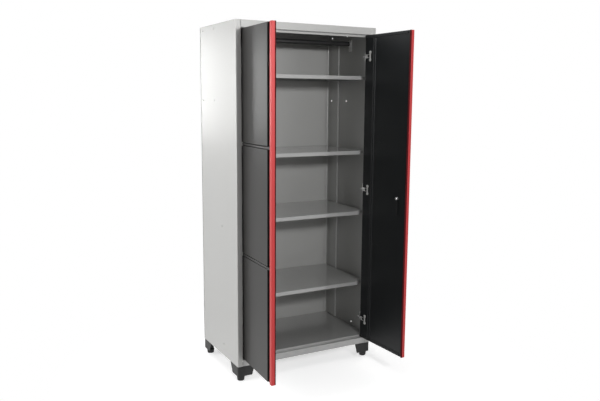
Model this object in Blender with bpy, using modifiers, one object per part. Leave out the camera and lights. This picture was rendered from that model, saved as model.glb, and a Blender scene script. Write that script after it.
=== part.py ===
"""Double door tool cabinet in folded sheet steel.

Free-standing cabinet with two full-height doors, shown with both doors open.
Units are metres, +X is to the right seen from the front, +Y to the back, +Z up.
The origin is on the floor, under the middle of the open cabinet's outer box.
"""

import math

import bmesh
import bpy
from mathutils import Matrix, Vector

# Case
CASE_WIDTH = 0.9144
CASE_DEPTH = 0.550
CASE_HEIGHT = 1.968
FOOT_HEIGHT = 0.090
CASE_SHEET = 0.0010
FLANGE_WIDTH = 0.032
STILE_DEPTH = 0.065
REAR_FLANGE_WIDTH = 0.020
HEADER_HEIGHT = 0.042
HEADER_LIP_DROP = 0.013
BOTTOM_RAIL_HEIGHT = 0.038
DOOR_STOP_SETBACK = 0.0285
RAIL_FLANGE_DEPTH = 0.020
DECK_HEIGHT = 0.050
DECK_FOLD = 0.030
TOP_FLANGE_DROP = 0.012
BACK_FLANGE_DEPTH = 0.016

# Clearances
SEAT_GAP = 0.0003
SLIP_GAP = 0.0015
RUNNING_GAP = 0.0003
BOOLEAN_OVERLAP = 0.0004
RELIEF = 0.0002

# Holes in the side panels for bolting cabinets together, as distance from the back and height
JOIN_HOLE_RADIUS = 0.0040
JOIN_HOLES = ((0.228, 1.943), (0.045, 1.943), (0.228, 1.532), (0.045, 1.532), (0.325, 0.798))

# Slotted standards and shelves
STANDARD_DEPTH = 0.010
STANDARD_BOTTOM = 0.052
STANDARD_TOP = 1.905
FRONT_STANDARD_Y = 0.072
FRONT_STANDARD_WIDTH = 0.040
FRONT_SLOT_INSET = 0.020
REAR_STANDARD_FROM_BACK = 0.140
REAR_STANDARD_WIDTH = 0.070
REAR_SLOT_INSET = 0.015
SLOT_FIRST = 0.0900
SLOT_PITCH = 0.0755
SLOT_COUNT = 24
SLOT_WIDTH = 0.0040
SLOT_HEIGHT = 0.0100
SHELF_SLOTS = (4, 10, 15, 21)
SHELF_SHEET = 0.0010
SHELF_LIP = 0.022
SHELF_SETBACK = 0.040
SHELF_REAR_GAP = 0.003
SHELF_NOTCH_WIDTH = 0.0526
SHELF_NOTCH_DEPTH = 0.035
SUPPORT_SHEET = 0.0015
SUPPORT_LEDGE = 0.024
SUPPORT_START_INSET = 0.004
SUPPORT_END_INSET = 0.002
SUPPORT_LEG_SHORT = 0.002
HOOK_DROP = 0.0080
HOOK_LENGTH = 0.006
HOOK_HEIGHT = 0.008
HOOK_THICKNESS = 0.0030

# Hanging rod
ROD_RADIUS = 0.0145
ROD_WALL = 0.0015
ROD_FROM_BACK = 0.270
ROD_HEIGHT = 1.891
BRACKET_WIDTH = 0.038
BRACKET_BOTTOM = 1.845
BRACKET_TOP = 1.917
BRACKET_PLATE = 0.002
SOCKET_LENGTH = 0.014
SOCKET_WALL = 0.0030

# Feet
FOOT_DROP = 0.060
FOOT_WALL = 0.004
FOOT_FRONT_LENGTH = 0.106
FOOT_SIDE_LENGTH = 0.116
FOOT_FRONT_TAPER = 0.015
FOOT_SIDE_TAPER = 0.032
FOOT_PLATE = 0.062
FOOT_PLATE_SHEET = 0.004
LEVELLER_INSET = 0.030
BOSS_RADIUS = 0.012
BOSS_HEIGHT = 0.046
STUD_RADIUS = 0.005
STUD_LENGTH = 0.052
PAD_BASE_RADIUS = 0.0165
PAD_TOP_RADIUS = 0.0200
PAD_HEIGHT = 0.0265
PAD_SHOULDER = 0.0020
PAD_EDGE = 0.0020

# Doors, with distances across the door counted from the hinge edge
# and depths counted inwards from the outer face
DOOR_OPEN_ANGLE = math.radians(92.6)
DOOR_SIDE_GAP = 0.003
DOOR_MEET_GAP = 0.003
DOOR_TOP_GAP = 0.002
DOOR_BOTTOM_GAP = 0.002
DOOR_THICKNESS = 0.023
DOOR_SHEET = 0.0008
PIVOT_INSET = 0.012
PIVOT_DEPTH = 0.008
FINGER_RECESS_WIDTH = 0.0285
PANEL_DEPTH = 0.009
PANEL_END_GAP = 0.0012
PANEL_LEVELS = ("lower", "middle", "upper")
CROSS_RAIL_HEIGHT = 0.012
CROSS_RAIL_GAP = 0.003
PULL_WIDTH = 0.0262
PULL_ROUND = 0.0025
PULL_FIN_WIDTH = 0.0055
PULL_CHAMFER = 0.0040
BORDER_RISE = 0.003
BORDER_HEIGHT = 0.016
RIB_FROM_HINGE = 0.076
RIB_WIDTH = 0.021

# Hinges
HINGE_BOTTOM_INSET = 0.125
HINGE_TOP_INSET = 0.124
HINGE_MIDDLE_RISE = 0.012
HINGE_PIN_RADIUS = 0.0025
KNUCKLE_RADIUS = 0.0045
ARM_HALF_HEIGHT = 0.008
ARM_FRONT = 0.028
ARM_REAR = 0.060
ARM_WIDTH = 0.018
ARM_PLATE = 0.003
ARM_PLATE_HALF_HEIGHT = 0.028
NOSE_INNER = 0.0045
NOSE_OUTER = 0.0010
EAR_THICKNESS = 0.002
EAR_RISE = 0.0033
CUP_PLATE_FROM_HINGE = 0.038
CUP_PLATE_WIDTH = 0.020
CUP_PLATE_THICKNESS = 0.002
CUP_PLATE_HALF_HEIGHT = 0.031
NOTCH_WIDTH = 0.022
NOTCH_SKIN = 0.0022
NOTCH_CLEARANCE = 0.0015

# Lock on the right door
LOCK_FROM_PANEL_EDGE = 0.026
LOCK_HEIGHT = 0.979
LOCK_BEZEL_RADIUS = 0.0110
LOCK_BEZEL = 0.0015
LOCK_BARREL_RADIUS = 0.0092
LOCK_PLUG_RADIUS = 0.0060
LOCK_BARREL_REACH = 0.0068
CAM_THICKNESS = 0.002
CAM_WIDTH = 0.016
CAM_CATCH = 0.014
KEYWAY_WIDTH = 0.0014
KEYWAY_HEIGHT = 0.0060
KEYWAY_DEPTH = 0.0030

ROUND_STEPS = 24
SMALL_ROUND_STEPS = 16
SHARP_ANGLE = math.radians(35)
WELD_DISTANCE = 0.00002
DRILL_REACH = 0.004

# Values that follow from the sizes above
HALF_WIDTH = CASE_WIDTH / 2
SKIN_INNER_X = HALF_WIDTH - CASE_SHEET
OPENING_X = HALF_WIDTH - FLANGE_WIDTH
BODY_TOP = CASE_HEIGHT - CASE_SHEET - SEAT_GAP
BACK_MIDDLE_Y = CASE_DEPTH - CASE_SHEET / 2
REAR_FLANGE_Y = BACK_MIDDLE_Y - CASE_SHEET - SEAT_GAP
REAR_INNER_Y = REAR_FLANGE_Y - CASE_SHEET / 2
STANDARD_FACE_X = SKIN_INNER_X - SEAT_GAP - STANDARD_DEPTH
REAR_STANDARD_Y = CASE_DEPTH - REAR_STANDARD_FROM_BACK
SUPPORT_START = FRONT_STANDARD_Y + SUPPORT_START_INSET
SUPPORT_END = REAR_STANDARD_Y + REAR_STANDARD_WIDTH - SUPPORT_END_INSET
ROD_Y = CASE_DEPTH - ROD_FROM_BACK
SUPPORT_OUTER_X = STANDARD_FACE_X - SEAT_GAP
SHELF_HALF_WIDTH = SUPPORT_OUTER_X - SUPPORT_SHEET - SLIP_GAP
SHELF_NOTCH_X = SHELF_HALF_WIDTH - SHELF_NOTCH_WIDTH
SHELF_TOPS = tuple(SLOT_FIRST + slot * SLOT_PITCH + HOOK_DROP for slot in SHELF_SLOTS)
HEADER_BOTTOM = CASE_HEIGHT - HEADER_HEIGHT
DOOR_WIDTH = OPENING_X - DOOR_SIDE_GAP - DOOR_MEET_GAP / 2
DOOR_BOTTOM = BOTTOM_RAIL_HEIGHT + DOOR_BOTTOM_GAP
DOOR_TOP = HEADER_BOTTOM - DOOR_TOP_GAP
PIVOT_X = OPENING_X - DOOR_SIDE_GAP - PIVOT_INSET
PULL_START = DOOR_WIDTH - PULL_WIDTH
PANEL_WIDTH = PULL_START - FINGER_RECESS_WIDTH
LOCK_FROM_HINGE = PANEL_WIDTH - LOCK_FROM_PANEL_EDGE
PAN_WIDTH = PULL_START - SEAT_GAP
PAN_FACE = DOOR_THICKNESS - BORDER_RISE
PAN_FRONT = PANEL_DEPTH + SEAT_GAP
EAR_INNER_Z = ARM_HALF_HEIGHT + RUNNING_GAP
EAR_OUTER_Z = EAR_INNER_Z + EAR_THICKNESS
NOTCH_HALF_HEIGHT = EAR_OUTER_Z + NOTCH_CLEARANCE
CROSS_RAIL_END = PAN_WIDTH - SEAT_GAP
DOOR_HEIGHT = DOOR_TOP - DOOR_BOTTOM
HINGE_HEIGHTS = {
    "bottom": DOOR_BOTTOM + HINGE_BOTTOM_INSET,
    "middle": DOOR_BOTTOM + DOOR_HEIGHT / 2 + HINGE_MIDDLE_RISE,
    "top": DOOR_TOP - HINGE_TOP_INSET,
}
SEAM_HEIGHTS = tuple(DOOR_BOTTOM + DOOR_HEIGHT * number / len(PANEL_LEVELS)
                     for number in range(1, len(PANEL_LEVELS)))

# The open doors reach forward of the case, so the case stands behind the origin.
# The chamfered corner at the door's free edge and inner face reaches the furthest.
DOOR_REACH = ((DOOR_WIDTH - PIVOT_INSET) * math.sin(DOOR_OPEN_ANGLE)
              - (DOOR_THICKNESS - PIVOT_DEPTH - PULL_CHAMFER) * math.cos(DOOR_OPEN_ANGLE) - PIVOT_DEPTH)
FRONT_Y = (DOOR_REACH - CASE_DEPTH) / 2

SIDES = {"left": -1, "right": 1}


def clear_scene():
    """Remove every object of the scene that the script starts in."""
    for scene_object in list(bpy.data.objects):
        bpy.data.objects.remove(scene_object, do_unlink=True)


def new_collection(name):
    """Add a collection to the scene."""
    collection = bpy.data.collections.new(name)
    bpy.context.scene.collection.children.link(collection)
    return collection


clear_scene()
PARTS = new_collection("tool_cabinet")
CUTTERS = new_collection("cutters")


def new_finish(name, colour, roughness, metallic):
    """Make a Principled material from a colour, a roughness and a metallic value."""
    material = bpy.data.materials.new(name)
    material.use_nodes = True
    shader = material.node_tree.nodes["Principled BSDF"]
    shader.inputs["Base Color"].default_value = (*colour, 1.0)
    shader.inputs["Roughness"].default_value = roughness
    shader.inputs["Metallic"].default_value = metallic
    material.diffuse_color = (*colour, 1.0)
    return material


SILVER = new_finish("silver_paint", (0.58, 0.58, 0.56), 0.45, 0.2)
GREY = new_finish("grey_panel_paint", (0.15, 0.145, 0.14), 0.45, 0.2)
BLACK = new_finish("black_pan_paint", (0.012, 0.013, 0.014), 0.45, 0.1)
RED = new_finish("red_anodised", (0.62, 0.045, 0.05), 0.35, 0.5)
PLASTIC = new_finish("black_foot_plastic", (0.025, 0.025, 0.025), 0.55, 0.0)
STEEL = new_finish("bright_hinge_steel", (0.60, 0.60, 0.60), 0.30, 1.0)
DARK_STEEL = new_finish("dark_rod_steel", (0.04, 0.04, 0.04), 0.40, 0.8)


def new_parent(name, location, turn=0.0, parent=None):
    """Add an empty that carries other objects."""
    empty = bpy.data.objects.new(name, None)
    empty.location = location
    empty.rotation_euler = (0.0, 0.0, turn)
    empty.parent = parent
    PARTS.objects.link(empty)
    return empty


CASE = new_parent("case_frame", (0.0, FRONT_Y, FOOT_HEIGHT))


def new_part(name, mesh, finish, parent):
    """Add a finished piece under its parent."""
    part = bpy.data.objects.new(name, mesh)
    part.parent = parent
    mesh.materials.append(finish)
    PARTS.objects.link(part)
    return part


def new_cutter(name, mesh, parent):
    """Add a hidden shape that is cut out of a piece, or joined to it."""
    cutter = bpy.data.objects.new(name, mesh)
    cutter.parent = parent
    cutter.hide_render = True
    cutter.display_type = "WIRE"
    CUTTERS.objects.link(cutter)
    return cutter


def combine(part, other, operation):
    """Cut or join another shape with an exact Boolean."""
    modifier = part.modifiers.new(operation.lower(), "BOOLEAN")
    modifier.operation = operation
    modifier.solver = "EXACT"
    modifier.object = other


def join_box(part, low, high):
    """Join a plain block to a piece."""
    block = new_cutter(part.name + "_block", box_mesh(part.name + "_block", low, high), part.parent)
    combine(part, block, "UNION")


def cut_box(part, low, high):
    """Cut a plain block out of a piece."""
    block = new_cutter(part.name + "_cut", box_mesh(part.name + "_cut", low, high), part.parent)
    combine(part, block, "DIFFERENCE")


def thicken(part, thickness):
    """Give a sheet its thickness, half on each side of its middle plane."""
    modifier = part.modifiers.new("sheet", "SOLIDIFY")
    modifier.thickness = thickness
    modifier.offset = 0.0
    modifier.use_even_offset = True


def mesh_from(name, bm):
    """Turn a bmesh into a mesh and free it."""
    mesh = bpy.data.meshes.new(name)
    bm.to_mesh(mesh)
    bm.free()
    return mesh


def new_block(low, high):
    """Make a block between two corners, given in any order, as a bmesh."""
    corners = [sorted(pair) for pair in zip(low, high)]
    size = [top - bottom for bottom, top in corners]
    centre = [(top + bottom) / 2 for bottom, top in corners]
    bm = bmesh.new()
    bmesh.ops.create_cube(bm, size=1.0)
    bmesh.ops.scale(bm, vec=size, verts=bm.verts)
    bmesh.ops.translate(bm, vec=centre, verts=bm.verts)
    return bm


def box_mesh(name, low, high):
    """Make a plain block between two corners."""
    return mesh_from(name, new_block(low, high))


def tray_mesh(name, low, high, open_towards):
    """Make a block's skin with the side open that faces one way."""
    bm = new_block(low, high)
    bm.normal_update()
    way = Vector(open_towards)
    lid = max(bm.faces, key=lambda face: face.normal.dot(way))
    bmesh.ops.delete(bm, geom=[lid], context="FACES_ONLY")
    return mesh_from(name, bm)


def strip_mesh(name, profile, axis, start, end):
    """Sweep an open profile, drawn in the plane across an axis, along that axis."""
    places = {
        "X": lambda point: (start, point[0], point[1]),
        "Y": lambda point: (point[0], start, point[1]),
        "Z": lambda point: (point[0], point[1], start),
    }
    bm = bmesh.new()
    corners = [bm.verts.new(places[axis](point)) for point in profile]
    edges = [bm.edges.new(pair) for pair in zip(corners, corners[1:])]
    swept = bmesh.ops.extrude_edge_only(bm, edges=edges)["geom"]
    far = [item for item in swept if isinstance(item, bmesh.types.BMVert)]
    step = Vector([end - start if letter == axis else 0.0 for letter in "XYZ"])
    bmesh.ops.translate(bm, verts=far, vec=step)
    return mesh_from(name, bm)


def cylinder_mesh(name, radius, axis, start, end, centre, steps=SMALL_ROUND_STEPS):
    """Make a round bar along an axis, with its centre line through a point of the plane across it."""
    bm = bmesh.new()
    bmesh.ops.create_cone(bm, cap_ends=True, segments=steps, radius1=radius, radius2=radius,
                          depth=abs(end - start))
    middle = (start + end) / 2
    turns = {"X": Matrix.Rotation(math.pi / 2, 3, "Y"), "Y": Matrix.Rotation(math.pi / 2, 3, "X"),
             "Z": Matrix.Identity(3)}
    places = {"X": (middle, *centre), "Y": (centre[0], middle, centre[1]), "Z": (*centre, middle)}
    bmesh.ops.rotate(bm, verts=bm.verts, cent=(0, 0, 0), matrix=turns[axis])
    bmesh.ops.translate(bm, verts=bm.verts, vec=places[axis])
    return smooth(mesh_from(name, bm))


def smooth(mesh):
    """Shade a round piece smooth, with its sharp edges kept."""
    mesh.shade_smooth()
    mesh.set_sharp_from_angle(angle=SHARP_ANGLE)
    return mesh


def turned_part(name, profile, finish, parent, closed, steps=ROUND_STEPS):
    """Turn a profile of radius and height around the Z axis; a closed one makes a ring."""
    bm = bmesh.new()
    corners = [bm.verts.new((radius, 0.0, height)) for radius, height in profile]
    pairs = list(zip(corners, corners[1:]))
    if closed:
        pairs.append((corners[-1], corners[0]))
    for pair in pairs:
        bm.edges.new(pair)
    part = new_part(name, mesh_from(name, bm), finish, parent)
    screw = part.modifiers.new("turn", "SCREW")
    screw.axis = "Z"
    screw.angle = math.tau
    screw.steps = steps
    screw.render_steps = steps
    screw.use_merge_vertices = True
    screw.merge_threshold = WELD_DISTANCE
    screw.use_smooth_shade = True
    return part


# Case panels
def build_side_panel(side, sign):
    """Folded side: stile return, front flange, outer skin and rear flange, with its bolt holes."""
    half = CASE_SHEET / 2
    profile = (
        (sign * (OPENING_X + half), STILE_DEPTH),
        (sign * (OPENING_X + half), half),
        (sign * (HALF_WIDTH - half), half),
        (sign * (HALF_WIDTH - half), REAR_FLANGE_Y),
        (sign * (HALF_WIDTH - REAR_FLANGE_WIDTH), REAR_FLANGE_Y),
    )
    name = "side_panel_" + side
    panel = new_part(name, strip_mesh(name, profile, "Z", 0.0, BODY_TOP), SILVER, CASE)
    thicken(panel, CASE_SHEET)
    for number, (from_back, height) in enumerate(JOIN_HOLES, start=1):
        drill = f"{name}_hole_{number}"
        start = sign * (HALF_WIDTH - DRILL_REACH)
        end = sign * (HALF_WIDTH + DRILL_REACH)
        centre = (CASE_DEPTH - from_back, height)
        mesh = cylinder_mesh(drill, JOIN_HOLE_RADIUS, "X", start, end, centre)
        combine(panel, new_cutter(drill, mesh, CASE), "DIFFERENCE")


def build_back_panel():
    """Flat back over the rear flanges of the sides, with a flange turned forward along its lower edge."""
    half = CASE_SHEET / 2
    profile = ((BACK_MIDDLE_Y - BACK_FLANGE_DEPTH, half), (BACK_MIDDLE_Y, half), (BACK_MIDDLE_Y, BODY_TOP))
    mesh = strip_mesh("back_panel", profile, "X", -HALF_WIDTH, HALF_WIDTH)
    back = new_part("back_panel", mesh, SILVER, CASE)
    thicken(back, CASE_SHEET)
    flange_end = HALF_WIDTH - REAR_FLANGE_WIDTH - SLIP_GAP
    for sign in SIDES.values():
        cut_box(back, (sign * flange_end, CASE_DEPTH - 2 * BACK_FLANGE_DEPTH, -BACK_FLANGE_DEPTH),
                (sign * CASE_WIDTH, CASE_DEPTH - CASE_SHEET, BACK_FLANGE_DEPTH))


def build_top_panel():
    """Top over the walls, folded down in front into the header, its ledge and the door-stop lip."""
    half = CASE_SHEET / 2
    lip_y = DOOR_STOP_SETBACK - half
    profile = (
        (CASE_DEPTH, CASE_HEIGHT - half),
        (half, CASE_HEIGHT - half),
        (half, HEADER_BOTTOM + half),
        (lip_y, HEADER_BOTTOM + half),
        (lip_y, HEADER_BOTTOM - HEADER_LIP_DROP),
    )
    top = new_part("top_panel", strip_mesh("top_panel", profile, "X", -HALF_WIDTH, HALF_WIDTH), SILVER, CASE)
    thicken(top, CASE_SHEET)
    under = CASE_HEIGHT - CASE_SHEET
    outer = SKIN_INNER_X - SEAT_GAP
    rear = REAR_INNER_Y - SEAT_GAP
    for sign in SIDES.values():
        cut_box(top, (sign * (OPENING_X - SEAT_GAP), -DOOR_STOP_SETBACK, HEADER_BOTTOM - 2 * HEADER_LIP_DROP),
                (sign * CASE_WIDTH, 2 * DOOR_STOP_SETBACK, under + RELIEF))
        join_box(top, (sign * (outer - CASE_SHEET), STILE_DEPTH + SLIP_GAP, under - TOP_FLANGE_DROP),
                 (sign * outer, rear, under + BOOLEAN_OVERLAP))
    inner = outer - CASE_SHEET - SLIP_GAP
    join_box(top, (-inner, rear - CASE_SHEET, under - TOP_FLANGE_DROP),
             (inner, rear, under + BOOLEAN_OVERLAP))


def build_bottom_panel():
    """Bottom rail and deck in one folded sheet, notched in front round the stiles."""
    half = CASE_SHEET / 2
    lip_y = DOOR_STOP_SETBACK - half
    rear = REAR_INNER_Y - SEAT_GAP
    profile = (
        (RAIL_FLANGE_DEPTH, half),
        (half, half),
        (half, BOTTOM_RAIL_HEIGHT - half),
        (lip_y, BOTTOM_RAIL_HEIGHT - half),
        (lip_y, DECK_HEIGHT - half),
        (rear - half, DECK_HEIGHT - half),
        (rear - half, DECK_HEIGHT - DECK_FOLD),
    )
    outer = SKIN_INNER_X - SEAT_GAP
    bottom = new_part("bottom_panel", strip_mesh("bottom_panel", profile, "X", -outer, outer), SILVER, CASE)
    thicken(bottom, CASE_SHEET)
    stile_end = STILE_DEPTH + SLIP_GAP
    for sign in SIDES.values():
        cut_box(bottom, (sign * (OPENING_X - SEAT_GAP), -DECK_HEIGHT, -DECK_HEIGHT),
                (sign * CASE_WIDTH, stile_end, 2 * DECK_HEIGHT))
        join_box(bottom, (sign * (outer - CASE_SHEET), stile_end + SLIP_GAP, DECK_HEIGHT - DECK_FOLD),
                 (sign * (outer - RELIEF), rear - CASE_SHEET - SLIP_GAP, DECK_HEIGHT - half))


# Shelving
def slot_height(number):
    """Height of a slot's centre above the bottom of the case."""
    return SLOT_FIRST + number * SLOT_PITCH


def build_standard(name, sign, start, width, slot_inset):
    """Channel standard on a side wall, open to the wall, with a column of slots in its face."""
    half = CASE_SHEET / 2
    wall = sign * (SKIN_INNER_X - SEAT_GAP)
    face = sign * (STANDARD_FACE_X + half)
    profile = (
        (wall, start + half),
        (face, start + half),
        (face, start + width - half),
        (wall, start + width - half),
    )
    standard = new_part(name, strip_mesh(name, profile, "Z", STANDARD_BOTTOM, STANDARD_TOP), SILVER, CASE)
    thicken(standard, CASE_SHEET)
    middle = start + slot_inset
    low = (face - 2 * CASE_SHEET, middle - SLOT_WIDTH / 2, slot_height(0) - SLOT_HEIGHT / 2)
    high = (face + 2 * CASE_SHEET, middle + SLOT_WIDTH / 2, slot_height(0) + SLOT_HEIGHT / 2)
    slots = new_cutter(name + "_slots", box_mesh(name + "_slots", low, high), CASE)
    repeat = slots.modifiers.new("column", "ARRAY")
    repeat.count = SLOT_COUNT
    repeat.use_relative_offset = False
    repeat.use_constant_offset = True
    repeat.constant_offset_displace = (0.0, 0.0, SLOT_PITCH)
    combine(standard, slots, "DIFFERENCE")


def build_shelf(number, top):
    """Shelf folded down on four sides, with its front corners notched clear of the hinges."""
    half = SHELF_SHEET / 2
    name = f"shelf_{number}"
    low = (-(SHELF_HALF_WIDTH - half), SHELF_SETBACK + half, top - SHELF_LIP)
    high = (SHELF_HALF_WIDTH - half, REAR_INNER_Y - SHELF_REAR_GAP - half, top - half)
    shelf = new_part(name, tray_mesh(name, low, high, (0, 0, -1)), SILVER, CASE)
    thicken(shelf, SHELF_SHEET)
    for sign in SIDES.values():
        cut_box(shelf, (sign * SHELF_NOTCH_X, 0.0, top - 2 * SHELF_LIP),
                (sign * HALF_WIDTH, SHELF_SETBACK + SHELF_NOTCH_DEPTH, top + SHELF_LIP))


def build_support(side, sign, number, top):
    """Angle rail under a shelf's end, hooked into the slots of the two standards."""
    half = SUPPORT_SHEET / 2
    ledge_z = top - SHELF_LIP - SEAT_GAP - half
    leg_x = SUPPORT_OUTER_X - half
    profile = (
        (sign * (SUPPORT_OUTER_X - SUPPORT_LEDGE), ledge_z),
        (sign * leg_x, ledge_z),
        (sign * leg_x, top - SUPPORT_LEG_SHORT),
    )
    name = f"shelf_support_{side}_{number}"
    support = new_part(name, strip_mesh(name, profile, "Y", SUPPORT_START, SUPPORT_END), STEEL, CASE)
    thicken(support, SUPPORT_SHEET)
    hook_z = top - HOOK_DROP
    for middle in (FRONT_STANDARD_Y + FRONT_SLOT_INSET, REAR_STANDARD_Y + REAR_SLOT_INSET):
        low = (sign * leg_x, middle - HOOK_THICKNESS / 2, hook_z - HOOK_HEIGHT / 2)
        tip = sign * (STANDARD_FACE_X + HOOK_LENGTH)
        join_box(support, low, (tip, middle + HOOK_THICKNESS / 2, hook_z + HOOK_HEIGHT / 2))


def build_hanging_rod():
    """Tube across the case under its top."""
    reach = SKIN_INNER_X - SEAT_GAP - BRACKET_PLATE - SEAT_GAP
    rod = new_part("hanging_rod", cylinder_mesh("hanging_rod", ROD_RADIUS, "X", -reach, reach,
                                                (ROD_Y, ROD_HEIGHT), ROUND_STEPS), DARK_STEEL, CASE)
    mesh = cylinder_mesh("hanging_rod_bore", ROD_RADIUS - ROD_WALL, "X", -HALF_WIDTH, HALF_WIDTH,
                         (ROD_Y, ROD_HEIGHT), ROUND_STEPS)
    combine(rod, new_cutter("hanging_rod_bore", mesh, CASE), "DIFFERENCE")


def build_rod_bracket(side, sign):
    """Plate on the side wall with a round socket for the end of the rod."""
    wall = SKIN_INNER_X - SEAT_GAP
    plate_face = wall - BRACKET_PLATE
    name = "rod_bracket_" + side
    low = (sign * plate_face, ROD_Y - BRACKET_WIDTH / 2, BRACKET_BOTTOM)
    high = (sign * wall, ROD_Y + BRACKET_WIDTH / 2, BRACKET_TOP)
    bracket = new_part(name, box_mesh(name, low, high), SILVER, CASE)
    end = sign * (plate_face - SOCKET_LENGTH)
    ring = cylinder_mesh(name + "_socket", ROD_RADIUS + RUNNING_GAP + SOCKET_WALL, "X",
                         sign * (plate_face + BRACKET_PLATE / 2), end, (ROD_Y, ROD_HEIGHT), ROUND_STEPS)
    combine(bracket, new_cutter(name + "_socket", ring, CASE), "UNION")
    bore = cylinder_mesh(name + "_bore", ROD_RADIUS + RUNNING_GAP, "X", sign * plate_face,
                         end - sign * SOCKET_LENGTH, (ROD_Y, ROD_HEIGHT), ROUND_STEPS)
    combine(bracket, new_cutter(name + "_bore", bore, CASE), "DIFFERENCE")


# Feet
def corner_point(x_sign, at_rear, across, inwards):
    """Place in plan of a point given by its distances from a corner's side and its front or back."""
    depth = CASE_DEPTH - inwards if at_rear else inwards
    return (x_sign * (HALF_WIDTH - across), depth)


def build_foot(corner, x_sign, at_rear):
    """Moulded corner bracket: two walls that narrow downwards, a seat plate and a threaded boss."""
    half = FOOT_WALL / 2
    plan = ((FOOT_FRONT_LENGTH, half), (half, half), (half, FOOT_SIDE_LENGTH))
    tapers = (FOOT_FRONT_TAPER, 0.0, FOOT_SIDE_TAPER)
    name = "foot_bracket_" + corner
    bm = bmesh.new()
    rows = []
    for level, narrowing in ((-SEAT_GAP, 0.0), (-FOOT_DROP, 1.0)):
        row = []
        for (across, inwards), taper in zip(plan, tapers):
            shrink = taper * narrowing
            across -= shrink * (across > half)
            inwards -= shrink * (inwards > half)
            point = corner_point(x_sign, at_rear, across, inwards)
            row.append(bm.verts.new((*point, level)))
        rows.append([bm.edges.new(pair) for pair in zip(row, row[1:])])
    bmesh.ops.bridge_loops(bm, edges=rows[0] + rows[1])
    foot = new_part(name, mesh_from(name, bm), PLASTIC, CASE)
    thicken(foot, FOOT_WALL)
    seat_top = -2 * SEAT_GAP
    lap = FOOT_WALL - half / 2
    low = corner_point(x_sign, at_rear, lap, lap)
    high = corner_point(x_sign, at_rear, FOOT_PLATE, FOOT_PLATE)
    join_box(foot, (*low, seat_top - FOOT_PLATE_SHEET), (*high, seat_top))
    centre = corner_point(x_sign, at_rear, LEVELLER_INSET, LEVELLER_INSET)
    boss = cylinder_mesh(name + "_boss", BOSS_RADIUS, "Z", seat_top - FOOT_PLATE_SHEET / 2, -BOSS_HEIGHT,
                         centre)
    combine(foot, new_cutter(name + "_boss", boss, CASE), "UNION")
    bore = cylinder_mesh(name + "_bore", STUD_RADIUS + RUNNING_GAP, "Z", FOOT_DROP, -2 * FOOT_DROP, centre)
    combine(foot, new_cutter(name + "_bore", bore, CASE), "DIFFERENCE")


def build_leveller(corner, x_sign, at_rear):
    """Levelling foot: tapered pad on a stud that screws into the boss."""
    pad_top = PAD_HEIGHT
    profile = (
        (0.0, pad_top + STUD_LENGTH),
        (STUD_RADIUS, pad_top + STUD_LENGTH),
        (STUD_RADIUS, pad_top),
        (PAD_TOP_RADIUS - PAD_SHOULDER, pad_top),
        (PAD_TOP_RADIUS, pad_top - PAD_SHOULDER),
        (PAD_BASE_RADIUS, PAD_EDGE),
        (PAD_BASE_RADIUS - PAD_EDGE, 0.0),
        (0.0, 0.0),
    )
    leveller = turned_part("leveller_" + corner, profile, PLASTIC, CASE, closed=False,
                           steps=SMALL_ROUND_STEPS)
    leveller.location = (*corner_point(x_sign, at_rear, LEVELLER_INSET, LEVELLER_INSET), -FOOT_HEIGHT)


# Doors
def door_point(sign, across, depth, height):
    """Place of a door point in the frame of its hinge axis, with the door shut."""
    return (sign * (PIVOT_INSET - across), depth - PIVOT_DEPTH, height)


def cut_hinge_notches(part, sign):
    """Open a door piece at its hinge edge where the hinge arms reach its axis."""
    for height in HINGE_HEIGHTS.values():
        low = door_point(sign, -DOOR_SIDE_GAP, NOTCH_SKIN, height - NOTCH_HALF_HEIGHT)
        high = door_point(sign, NOTCH_WIDTH, DOOR_THICKNESS + BORDER_RISE, height + NOTCH_HALF_HEIGHT)
        cut_box(part, low, high)


def build_door_pan(side, sign, door):
    """Inner pan, open to the front, with the wall of the finger recess, two borders and a rib."""
    half = DOOR_SHEET / 2
    name = "door_pan_" + side
    low = door_point(sign, half, PAN_FRONT, DOOR_BOTTOM + half)
    high = door_point(sign, PAN_WIDTH - half, PAN_FACE - half, DOOR_TOP - half)
    pan = new_part(name, tray_mesh(name, low, high, (0, -1, 0)), BLACK, door)
    thicken(pan, DOOR_SHEET)
    recess_wall = PANEL_WIDTH - DOOR_SHEET
    join_box(pan, door_point(sign, recess_wall, PAN_FRONT, DOOR_BOTTOM + half),
             door_point(sign, recess_wall + DOOR_SHEET, PAN_FACE - half, DOOR_TOP - half))
    fin_start = DOOR_WIDTH - PULL_FIN_WIDTH
    join_box(pan, door_point(sign, PAN_WIDTH - half, PAN_FACE - DOOR_SHEET, DOOR_BOTTOM + half),
             door_point(sign, fin_start - SEAT_GAP, PAN_FACE - RELIEF, DOOR_TOP - half))
    inset = 2 * DOOR_SHEET
    buried = PAN_FACE - half
    levels = (
        (DOOR_BOTTOM + inset, DOOR_BOTTOM + BORDER_HEIGHT),
        (DOOR_TOP - BORDER_HEIGHT, DOOR_TOP - inset),
    )
    for bottom, top in levels:
        join_box(pan, door_point(sign, inset, buried, bottom),
                 door_point(sign, PAN_WIDTH - inset, DOOR_THICKNESS, top))
    join_box(pan, door_point(sign, RIB_FROM_HINGE, buried, DOOR_BOTTOM + BORDER_HEIGHT - inset),
             door_point(sign, RIB_FROM_HINGE + RIB_WIDTH, DOOR_THICKNESS - inset,
                        DOOR_TOP - BORDER_HEIGHT + inset))
    cut_hinge_notches(pan, sign)
    return pan


def panel_levels():
    """Lower and upper ends of the front panels, from the bottom up."""
    seam = CROSS_RAIL_HEIGHT / 2 + CROSS_RAIL_GAP
    bottoms = [DOOR_BOTTOM + PANEL_END_GAP] + [height + seam for height in SEAM_HEIGHTS]
    tops = [height - seam for height in SEAM_HEIGHTS] + [DOOR_TOP - PANEL_END_GAP]
    return dict(zip(PANEL_LEVELS, zip(bottoms, tops)))


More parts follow.
